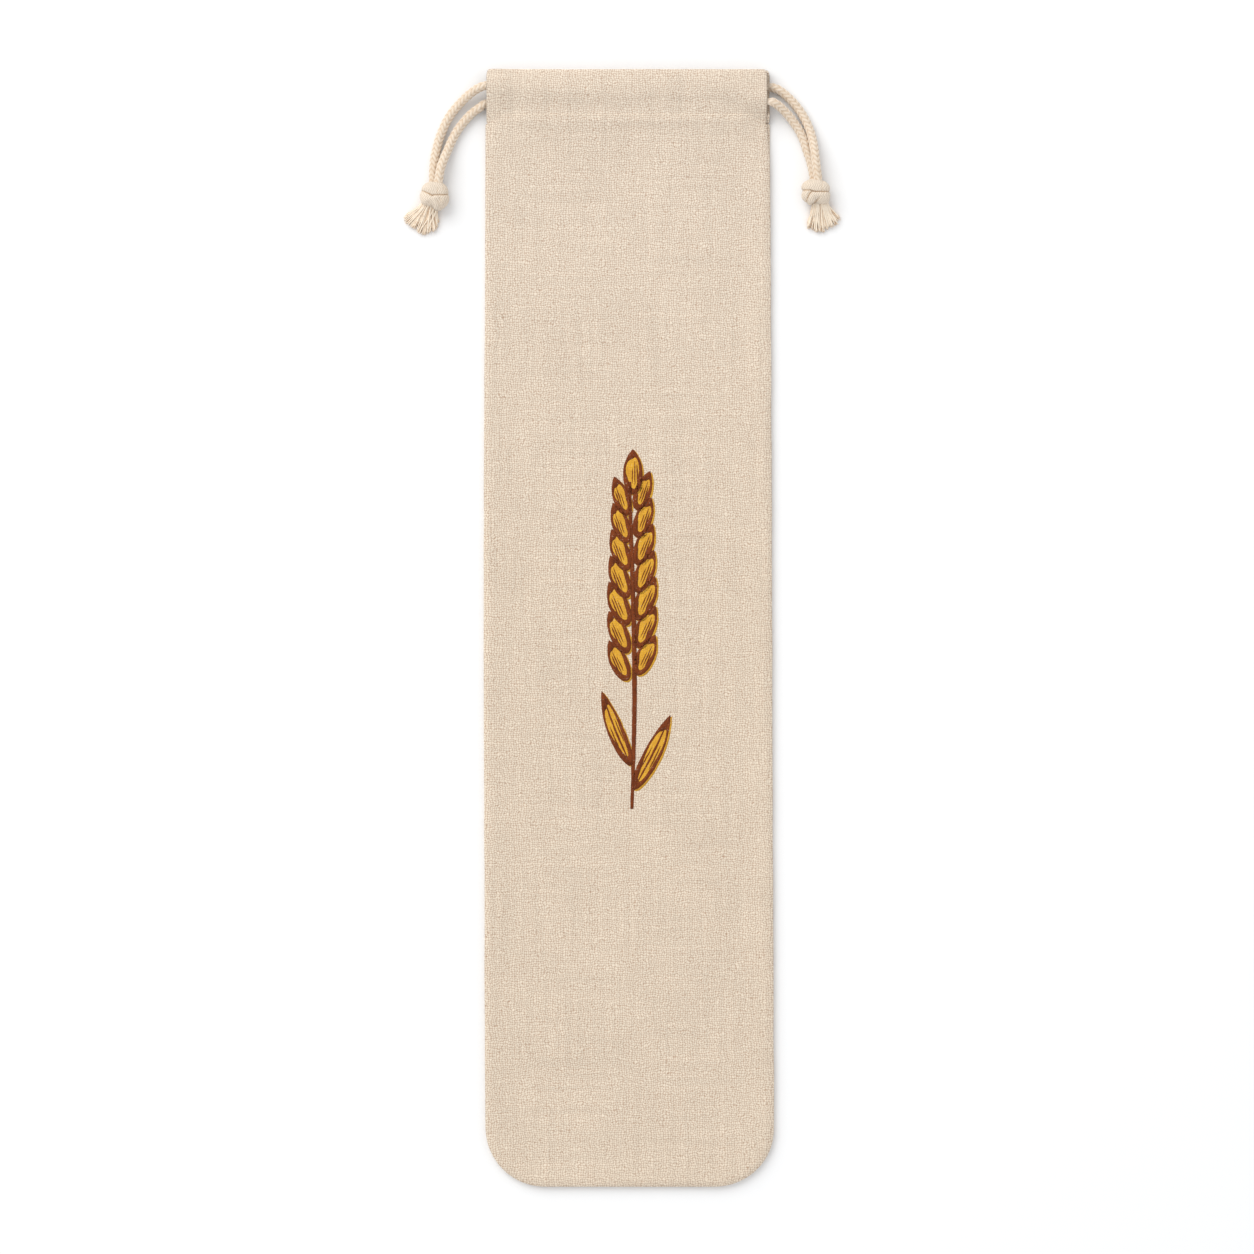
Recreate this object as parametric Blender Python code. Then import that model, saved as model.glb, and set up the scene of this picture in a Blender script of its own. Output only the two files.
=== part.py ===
# Linen bread bag with a double drawstring, lying flat and empty on its back panel.
# The origin is on the surface, under the middle of the bag. +X is to the right seen from the front,
# +Y points to the mouth and +Z up out of the front panel. All sizes are in metres.

import math
from collections import namedtuple

import bmesh
import bpy
from mathutils import Matrix, Vector

# The finished bag
BAG_WIDTH = 0.1806
BAG_LENGTH = 0.6990
CORNER_RADIUS = 0.0375
CLOTH = 0.001
LAYER_GAP = 0.0003

# Folded edges: the seam allowance at the sides and bottom, and the hem at the mouth
SEAM_ALLOWANCE = 0.008
FOLD_RADIUS = (CLOTH + LAYER_GAP) / 2
FOLD_INSET = CLOTH / 2 + FOLD_RADIUS
FOLD_STEPS = 4
SLIT_FOOT = 0.3160
CLIP_GAP = 0.0010
HEM_FULL_WIDTH_TO = 0.3440
HEM_HALF_WIDTH = 0.0760
TOP_CORNER_DRAW = 0.0016
TOP_CORNER_DEPTH = 0.0040
TOP_CORNER_POWER = 6

# The sides lean in a little towards the mouth
LEFT_LEAN = 0.0006
RIGHT_LEAN = 0.0024
LEAN_FROM = -0.250
LEAN_TO = 0.300

# Heights of the cloth's middle surface in the seams and over the body
BACK_HEIGHT = CLOTH / 2
FRONT_EDGE_HEIGHT = BACK_HEIGHT + 3 * (CLOTH + LAYER_GAP)
FRONT_BODY_HEIGHT = 0.0036
EDGE_SLOPE = 0.020
SLIT_RISE = 0.0080
PUCKERS_FROM = 0.300
PUCKERS_FULL_AT = 0.325

# The drawcords
CORD_RADIUS = 0.0029
CORD_IN_CHANNEL = 0.0017
CHANNEL_MOUTH = 0.0860
CORD_FULL_AT = 0.0940
CORD_POINT_SPACING = 0.0145
CORD_SIDES_RESOLUTION = 2

# Points nearer than this count as one where a cut runs through them
SAME_PLACE = 1e-6

# The casing, from the fold at the mouth down to the body: heights of the middle surfaces
Station = namedtuple("Station", "y front front_hem back_hem")
CASING = (
    Station(0.34835, 0.00615, 0.00485, 0.0018),
    Station(0.34450, 0.00930, 0.00620, 0.0030),
    Station(0.34150, 0.01115, 0.00690, 0.0045),
    Station(0.33840, 0.01240, 0.00715, 0.0058),
    Station(0.33310, 0.01215, 0.00715, 0.0058),
    Station(0.32780, 0.01240, 0.00715, 0.0058),
    Station(0.32470, 0.01130, 0.00700, 0.0045),
    Station(0.32040, 0.00770, 0.00620, 0.0020),
    Station(0.31500, 0.00620, 0.00470, 0.0018),
    Station(0.30940, 0.00510, 0.00360, 0.0018),
)
BELOW_HEM = (
    Station(0.30000, 0.00450, 0, 0),
    Station(0.28800, 0.00400, 0, 0),
    Station(0.27000, FRONT_BODY_HEIGHT, 0, 0),
)

# Gentle waves that the empty cloth keeps: height, wavelengths along x and y, and phases
Wave = namedtuple("Wave", "height along_x along_y phase_x phase_y")
BODY_WAVES = (
    Wave(0.00035, 0.150, 0.230, 0.6, 0.3),
    Wave(0.00025, 0.093, 0.410, 2.1, 1.2),
)
CASING_PUCKERS = (
    Wave(0.00045, 0.052, 0.120, 0.4, 0.9),
    Wave(0.00030, 0.031, 0.090, 1.7, 0.2),
)

# Each panel: how far its edge stands in from the bag's edge beside the casing, and its grid
Panel = namedtuple("Panel", "left_inset right_inset cell_x cell_y arc_steps")
FRONT = Panel(0.0006, 0.0021, 0.0152, 0.0225, 7)
BACK = Panel(0.0006, 0.0002, 0.0253333, 0.0450, 6)

# Routes of the free ends, from the slit to the knot
Point = namedtuple("Point", "x y z")
LEFT_UPPER_TAIL = (
    Point(-0.0891, 0.3384, 0.0093),
    Point(-0.0935, 0.3371, 0.0082),
    Point(-0.0977, 0.3347, 0.0066),
    Point(-0.1025, 0.3309, 0.0048),
    Point(-0.1064, 0.3270, 0.0036),
    Point(-0.1104, 0.3224, 0.00295),
    Point(-0.1139, 0.3169, 0.0029),
    Point(-0.1166, 0.3110, 0.0029),
    Point(-0.1188, 0.3051, 0.0029),
    Point(-0.1204, 0.2987, 0.0031),
    Point(-0.1216, 0.2925, 0.0036),
    Point(-0.1221, 0.2863, 0.0040),
    Point(-0.1223, 0.2799, 0.0041),
)
LEFT_LOWER_TAIL = (
    Point(-0.0896, 0.3276, 0.0037),
    Point(-0.0933, 0.3252, 0.0040),
    Point(-0.0974, 0.3224, 0.0034),
    Point(-0.1009, 0.3191, 0.0030),
    Point(-0.1045, 0.3149, 0.0029),
    Point(-0.1073, 0.3110, 0.0029),
    Point(-0.1098, 0.3066, 0.0031),
    Point(-0.1119, 0.3020, 0.0037),
    Point(-0.1138, 0.2974, 0.0048),
    Point(-0.1157, 0.2925, 0.0066),
    Point(-0.1177, 0.2863, 0.0086),
    Point(-0.1187, 0.2799, 0.0095),
)
RIGHT_UPPER_TAIL = (
    Point(0.0886, 0.3380, 0.0035),
    Point(0.0925, 0.3368, 0.0040),
    Point(0.0959, 0.3347, 0.0036),
    Point(0.1011, 0.3301, 0.0031),
    Point(0.1060, 0.3244, 0.0029),
    Point(0.1099, 0.3182, 0.0030),
    Point(0.1128, 0.3116, 0.0036),
    Point(0.1148, 0.3044, 0.0052),
    Point(0.1160, 0.2956, 0.0080),
    Point(0.1169, 0.2875, 0.0096),
    Point(0.1177, 0.2815, 0.0100),
)
RIGHT_LOWER_TAIL = (
    Point(0.0880, 0.3283, 0.0094),
    Point(0.0905, 0.3277, 0.0088),
    Point(0.0941, 0.3254, 0.0074),
    Point(0.0992, 0.3206, 0.0052),
    Point(0.1034, 0.3154, 0.0038),
    Point(0.1069, 0.3101, 0.0031),
    Point(0.1095, 0.3042, 0.0029),
    Point(0.1113, 0.2985, 0.0029),
    Point(0.1133, 0.2925, 0.0029),
    Point(0.1148, 0.2863, 0.0032),
    Point(0.1156, 0.2813, 0.0036),
)

# The cords' places in the channels
UPPER_Y = 0.3384
LOWER_Y = 0.3278
FRONT_CORD_Z = 0.0097
BACK_CORD_Z = 0.0031
CHANNEL_RUN_TO = 0.0740
TURN_POINTS = 5
TURN_REACH = 0.0062

# Knots: the wraps of cord that show, each a flat band in a ring about the cords' direction
Wrap = namedtuple("Wrap", "x y half_width band turn lean")
LEFT_KNOT_AT = Vector((-0.1216, 0.2700, 0))
LEFT_WRAPS = (
    Wrap(-0.0002, 0.0047, 0.0085, 0.0043, -5, 3),
    Wrap(0.0002, -0.0026, 0.0091, 0.0044, -17, -4),
    Wrap(0.0012, -0.0050, 0.0072, 0.0036, -30, 6),
)
RIGHT_KNOT_AT = Vector((0.1166, 0.2723, 0))
RIGHT_WRAPS = (
    Wrap(0.0000, 0.0041, 0.0090, 0.0038, -3, 2),
    Wrap(0.0006, -0.0028, 0.0084, 0.0041, 20, -3),
    Wrap(-0.0010, -0.0014, 0.0080, 0.0038, -22, 4),
)
WRAP_DEPTH = 0.0027
KNOT_HALF_HEIGHT = 0.0068
KNOT_CLEARANCE = 0.0001
RING_STEPS = 14
RING_SIDES = 8
SMOOTH_UNDER_DEGREES = 50

# Frayed ends: locks of the braid's strands fanned out on the surface, measured from their head
Fan = namedtuple("Fan", "angle reach")
LEFT_HEAD_AT = Vector((-0.1242, 0.2613, 0))
LEFT_TURN = -26
LEFT_FAN = (Fan(-47, 0.0156), Fan(-35, 0.0165), Fan(-19, 0.0181), Fan(-11, 0.0155), Fan(-3, 0.0110))
RIGHT_HEAD_AT = Vector((0.1192, 0.2627, 0))
RIGHT_TURN = 3
RIGHT_FAN = (Fan(-8, 0.0162), Fan(0, 0.0176), Fan(9, 0.0175), Fan(23, 0.0151), Fan(43, 0.0120))
HEAD_HALF_WIDTH = 0.0056
HEAD_HALF_DEPTH = 0.0010
HEAD_HEIGHT = 0.0074
HEAD_BEVEL = 0.0006

# Each row of locks: how many, its height at the head and at the tips, and the locks' widths there
LockRow = namedtuple("LockRow", "count root_height tip_height root_width tip_width")
LOCK_ROWS = (
    LockRow(11, 0.0018, 0.00050, 0.00060, 0.00150),
    LockRow(10, 0.0046, 0.00165, 0.00060, 0.00120),
)
LOCK_HALF_HEIGHT = 0.00045
LOCK_STATIONS = 5
LOCK_UNEVENNESS = 0.05


def clear_scene():
    for old in list(bpy.data.objects):
        bpy.data.objects.remove(old, do_unlink=True)


def material(name, colour, roughness):
    made = bpy.data.materials.new(name)
    made.use_nodes = True
    shader = made.node_tree.nodes["Principled BSDF"]
    shader.inputs["Base Color"].default_value = (*colour, 1)
    shader.inputs["Roughness"].default_value = roughness
    shader.inputs["Metallic"].default_value = 0
    return made


def add_object(name, mesh, finish):
    made = bpy.data.objects.new(name, mesh)
    bpy.context.scene.collection.objects.link(made)
    made.data.materials.append(finish)
    return made


def shade_round(mesh):
    mesh.shade_smooth()
    mesh.set_sharp_from_angle(angle=math.radians(SMOOTH_UNDER_DEGREES))


def smooth_step(low, high, value):
    share = min(max((value - low) / (high - low), 0), 1)
    return share * share * (3 - 2 * share)


def from_table(rows, column, y):
    """Straight-line reading of a table whose rows run from the mouth down."""
    if y >= rows[0].y:
        return getattr(rows[0], column)
    for above, below in zip(rows, rows[1:]):
        if y >= below.y:
            share = (above.y - y) / (above.y - below.y)
            return getattr(above, column) * (1 - share) + getattr(below, column) * share
    return getattr(rows[-1], column)


def waves(table, x, y):
    return sum(
        w.height
        * math.sin(2 * math.pi * x / w.along_x + w.phase_x)
        * math.sin(2 * math.pi * y / w.along_y + w.phase_y)
        for w in table
    )


def fold_line(x, y):
    """The nearest point of the side and bottom fold line, the way out of it, and how far out (x, y) is."""
    half = BAG_WIDTH / 2 - FOLD_INSET
    bottom = FOLD_INSET - BAG_LENGTH / 2
    radius = CORNER_RADIUS - FOLD_INSET
    if y < bottom + radius and abs(x) > half - radius:
        centre = Vector((math.copysign(half - radius, x), bottom + radius))
        way = Vector((x, y)) - centre
        out = way.normalized()
        return centre + out * radius, out, way.length - radius
    if bottom - y > abs(x) - half:
        return Vector((x, bottom)), Vector((0, -1)), bottom - y
    side = math.copysign(1, x)
    return Vector((side * half, y)), Vector((side, 0)), abs(x) - half


def front_height(x, y):
    """The front panel's outer layer: its casing, its slope to the seams and its waves."""
    level = from_table(CASING + BELOW_HEM, "front", y)
    inset = -fold_line(x, y)[2]
    inward = smooth_step(0, EDGE_SLOPE, inset)
    if y < CASING[-1].y:
        return FRONT_EDGE_HEIGHT + (level + waves(BODY_WAVES, x, y) - FRONT_EDGE_HEIGHT) * inward
    in_casing = smooth_step(SLIT_FOOT, SLIT_FOOT + SLIT_RISE, y)
    near_side = smooth_step(0, EDGE_SLOPE, min(inset, BAG_WIDTH / 2 - abs(x)))
    share = max(in_casing, near_side)
    pucker = max(0, waves(CASING_PUCKERS, x, y)) * smooth_step(PUCKERS_FROM, PUCKERS_FULL_AT, y) * near_side
    return FRONT_EDGE_HEIGHT + (level - FRONT_EDGE_HEIGHT) * share + pucker


def front_hem_height(x, y):
    level = from_table(CASING, "front_hem", y)
    return min(level, front_height(x, y) - CLOTH - LAYER_GAP)


def back_height(x, y):
    return BACK_HEIGHT


def back_hem_height(x, y):
    return from_table(CASING, "back_hem", y)


def lean(x, y):
    share = x / (BAG_WIDTH / 2)
    drift = RIGHT_LEAN if x > 0 else LEFT_LEAN
    rounded = max(0, (y - BAG_LENGTH / 2 + TOP_CORNER_DEPTH) / TOP_CORNER_DEPTH)
    draw = TOP_CORNER_DRAW * rounded * rounded * abs(share) ** TOP_CORNER_POWER
    return x - share * drift * smooth_step(LEAN_FROM, LEAN_TO, y) - math.copysign(draw, x)


def folded(x, y, outer, hem, inward):
    """Where a point of the flat cut ends up once the allowance and the hem are folded in.

    inward is the way along Z into the bag: -1 for the front panel, 1 for the back one.
    """
    mouth = BAG_LENGTH / 2 - FOLD_INSET
    half_turn = math.pi * FOLD_RADIUS
    if y > mouth:
        past = y - mouth
        if past < half_turn:
            angle = past / FOLD_RADIUS
            top, bottom = outer(x, mouth), hem(x, mouth)
            middle, reach = (top + bottom) / 2, (top - bottom) / 2
            return x, mouth + FOLD_RADIUS * math.sin(angle), middle + reach * math.cos(angle)
        lower = mouth - (past - half_turn)
        return x, lower, hem(x, lower)
    foot, out, past = fold_line(x, y)
    if past <= 0 or y > SLIT_FOOT - CLIP_GAP / 2:
        return x, y, outer(x, y)
    middle = outer(foot.x, foot.y) + inward * FOLD_RADIUS
    if past < half_turn:
        angle = past / FOLD_RADIUS
        place = foot + out * FOLD_RADIUS * math.sin(angle)
        return place.x, place.y, middle - inward * FOLD_RADIUS * math.cos(angle)
    place = foot - out * (past - half_turn)
    return place.x, place.y, middle + inward * FOLD_RADIUS


def cut_outline(panel):
    """The cut's flat outline inside its fold lines: two sides with a clip at the slit's foot, round corners."""
    half = BAG_WIDTH / 2 - FOLD_INSET
    left, right = panel.left_inset - BAG_WIDTH / 2, BAG_WIDTH / 2 - panel.right_inset
    mouth = BAG_LENGTH / 2 - FOLD_INSET
    radius = CORNER_RADIUS - FOLD_INSET
    low = FOLD_INSET - BAG_LENGTH / 2 + radius
    clip = SLIT_FOOT - CLIP_GAP
    points = [(-half, SLIT_FOOT), (-half, clip)]
    for side, start in ((-1, math.pi), (1, 1.5 * math.pi)):
        for step in range(panel.arc_steps + 1):
            angle = start + step / panel.arc_steps * math.pi / 2
            points.append(
                (side * (half - radius) + radius * math.cos(angle), low + radius * math.sin(angle))
            )
    points += [(half, clip), (half, SLIT_FOOT), (right, SLIT_FOOT)]
    return points + [(right, mouth), (left, mouth), (left, SLIT_FOOT)]


def open_edges(mesh, wanted):
    return [e for e in mesh.edges if e.is_boundary and all(wanted(v.co) for v in e.verts)]


def extrude_edges(mesh, edges, place):
    """Extrudes the edges, moves the new points with place() and returns the new outer edges."""
    made = bmesh.ops.extrude_edge_only(mesh, edges=edges)["geom"]
    points = [g for g in made if isinstance(g, bmesh.types.BMVert)]
    for vert in points:
        vert.co.xy = place(vert.co.x, vert.co.y)
    moved = set(points)
    return [
        g for g in made if isinstance(g, bmesh.types.BMEdge) and all(v in moved for v in g.verts)
    ]


def add_allowance(mesh):
    """Rings along the sides and bottom: the steps of the fold, then the allowance itself."""
    half_turn = math.pi * FOLD_RADIUS
    offsets = [half_turn * step / FOLD_STEPS for step in range(1, FOLD_STEPS + 1)]
    offsets.append(half_turn + SEAM_ALLOWANCE)
    near = CLOTH / 100
    edges = open_edges(
        mesh, lambda co: co.y < SLIT_FOOT - CLIP_GAP + near and abs(fold_line(co.x, co.y)[2]) < near
    )
    for offset in offsets:

        def place(x, y, offset=offset):
            foot, out, _ = fold_line(x, y)
            return foot + out * offset

        edges = extrude_edges(mesh, edges, place)


def add_hem(mesh):
    """Rows past the mouth: the steps of the fold, then the hem down to its edge."""
    mouth = BAG_LENGTH / 2 - FOLD_INSET
    half_turn = math.pi * FOLD_RADIUS
    offsets = [half_turn * step / FOLD_STEPS for step in range(1, FOLD_STEPS + 1)]
    offsets += [half_turn + mouth - station.y for station in CASING[1:]]
    near = CLOTH / 100
    edges = open_edges(mesh, lambda co: co.y > mouth - near)
    for offset in offsets:
        if mouth - (offset - half_turn) < HEM_FULL_WIDTH_TO:
            edges = [e for e in edges if all(abs(v.co.x) < HEM_HALF_WIDTH + near for v in e.verts)]

        def place(x, y, offset=offset):
            return Vector((x, mouth + offset))

        edges = extrude_edges(mesh, edges, place)


def cut_across(mesh, place, normal):
    geometry = mesh.verts[:] + mesh.edges[:] + mesh.faces[:]
    bmesh.ops.bisect_plane(mesh, geom=geometry, dist=SAME_PLACE, plane_co=place, plane_no=normal)


def build_panel(name, panel, outer, hem, inward, finish):
    mesh = bmesh.new()
    mesh.faces.new([mesh.verts.new((x, y, 0)) for x, y in cut_outline(panel)])
    columns = round(HEM_HALF_WIDTH / panel.cell_x)
    for step in range(-columns, columns + 1):
        cut_across(mesh, (step * panel.cell_x, 0, 0), (1, 0, 0))
    for station in CASING[1:] + BELOW_HEM:
        cut_across(mesh, (0, station.y, 0), (0, 1, 0))
    rows = int(BELOW_HEM[-1].y * 2 / panel.cell_y)
    for step in range(1, rows + 1):
        cut_across(mesh, (0, BELOW_HEM[-1].y - step * panel.cell_y, 0), (0, 1, 0))
    add_allowance(mesh)
    add_hem(mesh)
    for vert in mesh.verts:
        x, y, z = folded(vert.co.x, vert.co.y, outer, hem, inward)
        vert.co = (lean(x, y), y, z)
    bmesh.ops.recalc_face_normals(mesh, faces=mesh.faces[:])
    data = bpy.data.meshes.new(name)
    mesh.to_mesh(data)
    mesh.free()
    shade_round(data)
    made = add_object(name, data, finish)
    wall = made.modifiers.new("cloth thickness", "SOLIDIFY")
    wall.thickness = CLOTH
    wall.offset = 0
    wall.use_even_offset = False
    return made


def smooth_curve(points, spacing):
    """Points about spacing apart on a smooth curve through the given ones."""
    ends = [points[0] * 2 - points[1]] + list(points) + [points[-1] * 2 - points[-2]]
    curve = []
    for before, start, end, after in zip(ends, ends[1:], ends[2:], ends[3:]):
        steps = max(1, round((end - start).length / spacing))
        for step in range(steps):
            t = step / steps
            curve.append(
                0.5
                * (
                    2 * start
                    + (end - before) * t
                    + (2 * before - 5 * start + 4 * end - after) * t * t
                    + (3 * start - before - 3 * end + after) * t**3
                )
            )
    return curve + [points[-1]]


def cord_radius(x):
    grown = smooth_step(CHANNEL_MOUTH, CORD_FULL_AT, abs(x))
    return CORD_IN_CHANNEL + (CORD_RADIUS - CORD_IN_CHANNEL) * grown


def channel_route(side, front_y, back_y):
    """In at one slit (side -1 is the left), through the front channel, round at the other, and back."""
    near, far = side * CHANNEL_RUN_TO, -side * CHANNEL_RUN_TO
    quarter = (far - near) / 4
    going = [Vector((near + quarter * k, front_y, FRONT_CORD_Z)) for k in range(5)]
    start, end = going[-1], Vector((far, back_y, BACK_CORD_Z))
    turn = []
    for step in range(1, TURN_POINTS + 1):
        angle = math.pi * step / (TURN_POINTS + 1)
        place = start.lerp(end, (1 - math.cos(angle)) / 2)
        place.x = far - side * TURN_REACH * math.sin(angle)
        turn.append(place)
    coming = [Vector((far - quarter * k, back_y, BACK_CORD_Z)) for k in range(5)]
    return going + turn + coming


def build_cord(name, front_tail, back_tail, side, front_y, back_y, finish):
    route = [Vector(p) for p in reversed(front_tail)]
    route += channel_route(side, front_y, back_y)
    route += [Vector(p) for p in back_tail]
    points = smooth_curve(route, CORD_POINT_SPACING)
    curve = bpy.data.curves.new(name, "CURVE")
    curve.dimensions = "3D"
    curve.bevel_depth = CORD_RADIUS
    curve.bevel_resolution = CORD_SIDES_RESOLUTION
    curve.use_fill_caps = True
    spline = curve.splines.new("POLY")
    spline.points.add(len(points) - 1)
    for spline_point, place in zip(spline.points, points):
        spline_point.co = (*place, 1)
        spline_point.radius = cord_radius(place.x) / CORD_RADIUS
    return add_object(name, curve, finish)


def ring_mesh(wrap):
    """One wrap of cord: a flat band in a closed oval ring, standing on the surface."""
    mesh = bmesh.new()
    section = bmesh.ops.create_circle(mesh, segments=RING_SIDES, radius=1)["verts"]
    bmesh.ops.rotate(mesh, verts=section, matrix=Matrix.Rotation(math.pi / 2, 3, "X"))
    bmesh.ops.scale(mesh, verts=section, vec=(WRAP_DEPTH, 1, wrap.band))
    bmesh.ops.translate(mesh, verts=section, vec=(wrap.half_width - WRAP_DEPTH, 0, 0))
    bmesh.ops.spin(
        mesh,
        geom=mesh.edges[:],
        cent=(0, 0, 0),
        axis=(0, 0, 1),
        angle=2 * math.pi,
        steps=RING_STEPS,
        use_merge=True,
    )
    bmesh.ops.rotate(mesh, verts=mesh.verts[:], matrix=Matrix.Rotation(math.pi / 2, 3, "X"))
    turn = Matrix.Rotation(math.radians(wrap.turn), 3, "Z")
    turn @= Matrix.Rotation(math.radians(wrap.lean), 3, "X")
    bmesh.ops.rotate(mesh, verts=mesh.verts[:], matrix=turn)
    tallest = max(vert.co.z for vert in mesh.verts)
    flatten = (KNOT_HALF_HEIGHT - KNOT_CLEARANCE) / tallest
    bmesh.ops.scale(mesh, verts=mesh.verts[:], vec=(1, 1, flatten))
    bmesh.ops.translate(mesh, verts=mesh.verts[:], vec=(wrap.x, wrap.y, KNOT_HALF_HEIGHT))
    bmesh.ops.recalc_face_normals(mesh, faces=mesh.faces[:])
    return mesh


def to_data(mesh, name):
    data = bpy.data.meshes.new(name)
    mesh.to_mesh(data)
    mesh.free()
    return data


def unite(target, data):
    """Joins a helper's shape to the target, at the target's own place and turn."""
    helper = bpy.data.objects.new(target.name + "_part", data)
    bpy.context.scene.collection.objects.link(helper)
    helper.location = target.location
    helper.rotation_euler = target.rotation_euler
    helper.hide_render = True
    helper.display_type = "WIRE"
    joined = target.modifiers.new("joined", "BOOLEAN")
    joined.operation = "UNION"
    joined.solver = "EXACT"
    joined.object = helper


def build_knot(name, place, wraps, finish):
    """A core under the wraps, with each wrap united to it."""
    core = bmesh.new()
    bmesh.ops.create_icosphere(core, subdivisions=2, radius=1)
    widest = min(wrap.half_width for wrap in wraps) - WRAP_DEPTH / 2
    top = max(wrap.y + wrap.band for wrap in wraps) - WRAP_DEPTH / 3
    bottom = min(wrap.y - wrap.band for wrap in wraps) + WRAP_DEPTH / 3
    tallest = KNOT_HALF_HEIGHT - WRAP_DEPTH / 2
    bmesh.ops.scale(core, verts=core.verts[:], vec=(widest, (top - bottom) / 2, tallest))
    middle = Vector((wraps[-1].x / 2, (top + bottom) / 2, KNOT_HALF_HEIGHT))
    bmesh.ops.translate(core, verts=core.verts[:], vec=middle)
    made = add_object(name, to_data(core, name), finish)
    made.location = place
    for wrap in wraps:
        unite(made, to_data(ring_mesh(wrap), name + "_wrap"))
    shade_round(made.data)


def add_lock(mesh, path, row):
    """A flat four-sided lock of strands along the path, wider towards its tip."""
    rings = []
    for step, place in enumerate(path):
        along = step / (len(path) - 1)
        ahead = (path[min(step + 1, len(path) - 1)] - path[max(step - 1, 0)]).normalized()
        across = ahead.cross(Vector((0, 0, 1))).normalized()
        up = across.cross(ahead)
        width = row.root_width + (row.tip_width - row.root_width) * along
        ring = bmesh.ops.create_circle(mesh, segments=4, radius=1)["verts"]
        for vert in ring:
            vert.co = place + across * vert.co.x * width / 2 + up * vert.co.y * LOCK_HALF_HEIGHT
        rings.append(ring)
    for lower, upper in zip(rings, rings[1:]):
        both = set(lower + upper)
        loops = {e for v in both for e in v.link_edges if e.other_vert(v) in both}
        bmesh.ops.bridge_loops(mesh, edges=list(loops))
    mesh.faces.new(rings[0])
    mesh.faces.new(rings[-1])


def fan_at(fan, share):
    """The direction and the reach of a lock, read between the rows of the fan's table."""
    place = share * (len(fan) - 1)
    low = min(int(place), len(fan) - 2)
    part = place - low
    angle = fan[low].angle * (1 - part) + fan[low + 1].angle * part
    reach = fan[low].reach * (1 - part) + fan[low + 1].reach * part
    return math.radians(angle), reach


def lock_path(fan, row, share, turn, number):
    """Out of the head's flat side, curving to its direction in the fan and down to its level."""
    angle, reach = fan_at(fan, share)
    angle -= turn
    reach *= 1 + LOCK_UNEVENNESS * math.sin(5 * number + row.count)
    across = (share * 2 - 1) * (HEAD_HALF_WIDTH - row.root_width)
    way = Vector((math.sin(angle), -math.cos(angle)))
    path = []
    for step in range(LOCK_STATIONS):
        along = step / (LOCK_STATIONS - 1)
        heading = (Vector((0, -1)) * (1 - along) + way * along).normalized()
        spot = Vector((across, 0)) + heading * reach * along
        level = row.tip_height + (row.root_height - row.tip_height) * (1 - along) ** 2
        path.append(Vector((spot.x, spot.y, level)))
    return path


def build_frayed_ends(name, place, degrees, fan, finish):
    """Two rows of locks out of one flat head; the upper row lies on the gaps of the lower one."""
    head = bmesh.new()
    bmesh.ops.create_cube(head, size=2)
    size = (HEAD_HALF_WIDTH, HEAD_HALF_DEPTH, HEAD_HEIGHT / 2)
    bmesh.ops.scale(head, verts=head.verts[:], vec=size)
    bmesh.ops.bevel(
        head,
        geom=head.edges[:],
        offset=HEAD_BEVEL,
        segments=1,
        profile=0.5,
        affect="EDGES",
        material=-1,
    )
    bmesh.ops.translate(head, verts=head.verts[:], vec=(0, 0, HEAD_HEIGHT / 2))
    made = add_object(name, to_data(head, name), finish)
    turn = math.radians(degrees)
    made.location = place
    made.rotation_euler = (0, 0, turn)
    locks = bmesh.new()
    most = max(row.count for row in LOCK_ROWS)
    for row in LOCK_ROWS:
        for number in range(row.count):
            share = (number + (most - row.count) / 2) / (most - 1)
            add_lock(locks, lock_path(fan, row, share, turn, number), row)
    bmesh.ops.recalc_face_normals(locks, faces=locks.faces[:])
    unite(made, to_data(locks, name + "_locks"))


def main():
    clear_scene()
    linen = material("linen", (0.78, 0.67, 0.55), 0.9)
    cotton = material("cotton cord", (0.84, 0.74, 0.60), 0.85)
    build_panel("front_panel", FRONT, front_height, front_hem_height, -1, linen)
    build_panel("back_panel", BACK, back_height, back_hem_height, 1, linen)
    build_cord("drawcord_left", LEFT_UPPER_TAIL, LEFT_LOWER_TAIL, -1, UPPER_Y, LOWER_Y, cotton)
    build_cord("drawcord_right", RIGHT_LOWER_TAIL, RIGHT_UPPER_TAIL, 1, LOWER_Y, UPPER_Y, cotton)
    build_knot("knot_left", LEFT_KNOT_AT, LEFT_WRAPS, cotton)
    build_knot("knot_right", RIGHT_KNOT_AT, RIGHT_WRAPS, cotton)
    build_frayed_ends("frayed_ends_left", LEFT_HEAD_AT, LEFT_TURN, LEFT_FAN, cotton)
    build_frayed_ends("frayed_ends_right", RIGHT_HEAD_AT, RIGHT_TURN, RIGHT_FAN, cotton)


main()
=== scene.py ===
# Looks of a linen drawstring bread bag that lies flat and empty on its back panel.
# Metres, +Z up, the mouth towards +Y.
import math
import random

import bmesh
import bpy
from mathutils import Matrix, Vector, noise
from mathutils.bvhtree import BVHTree


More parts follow.
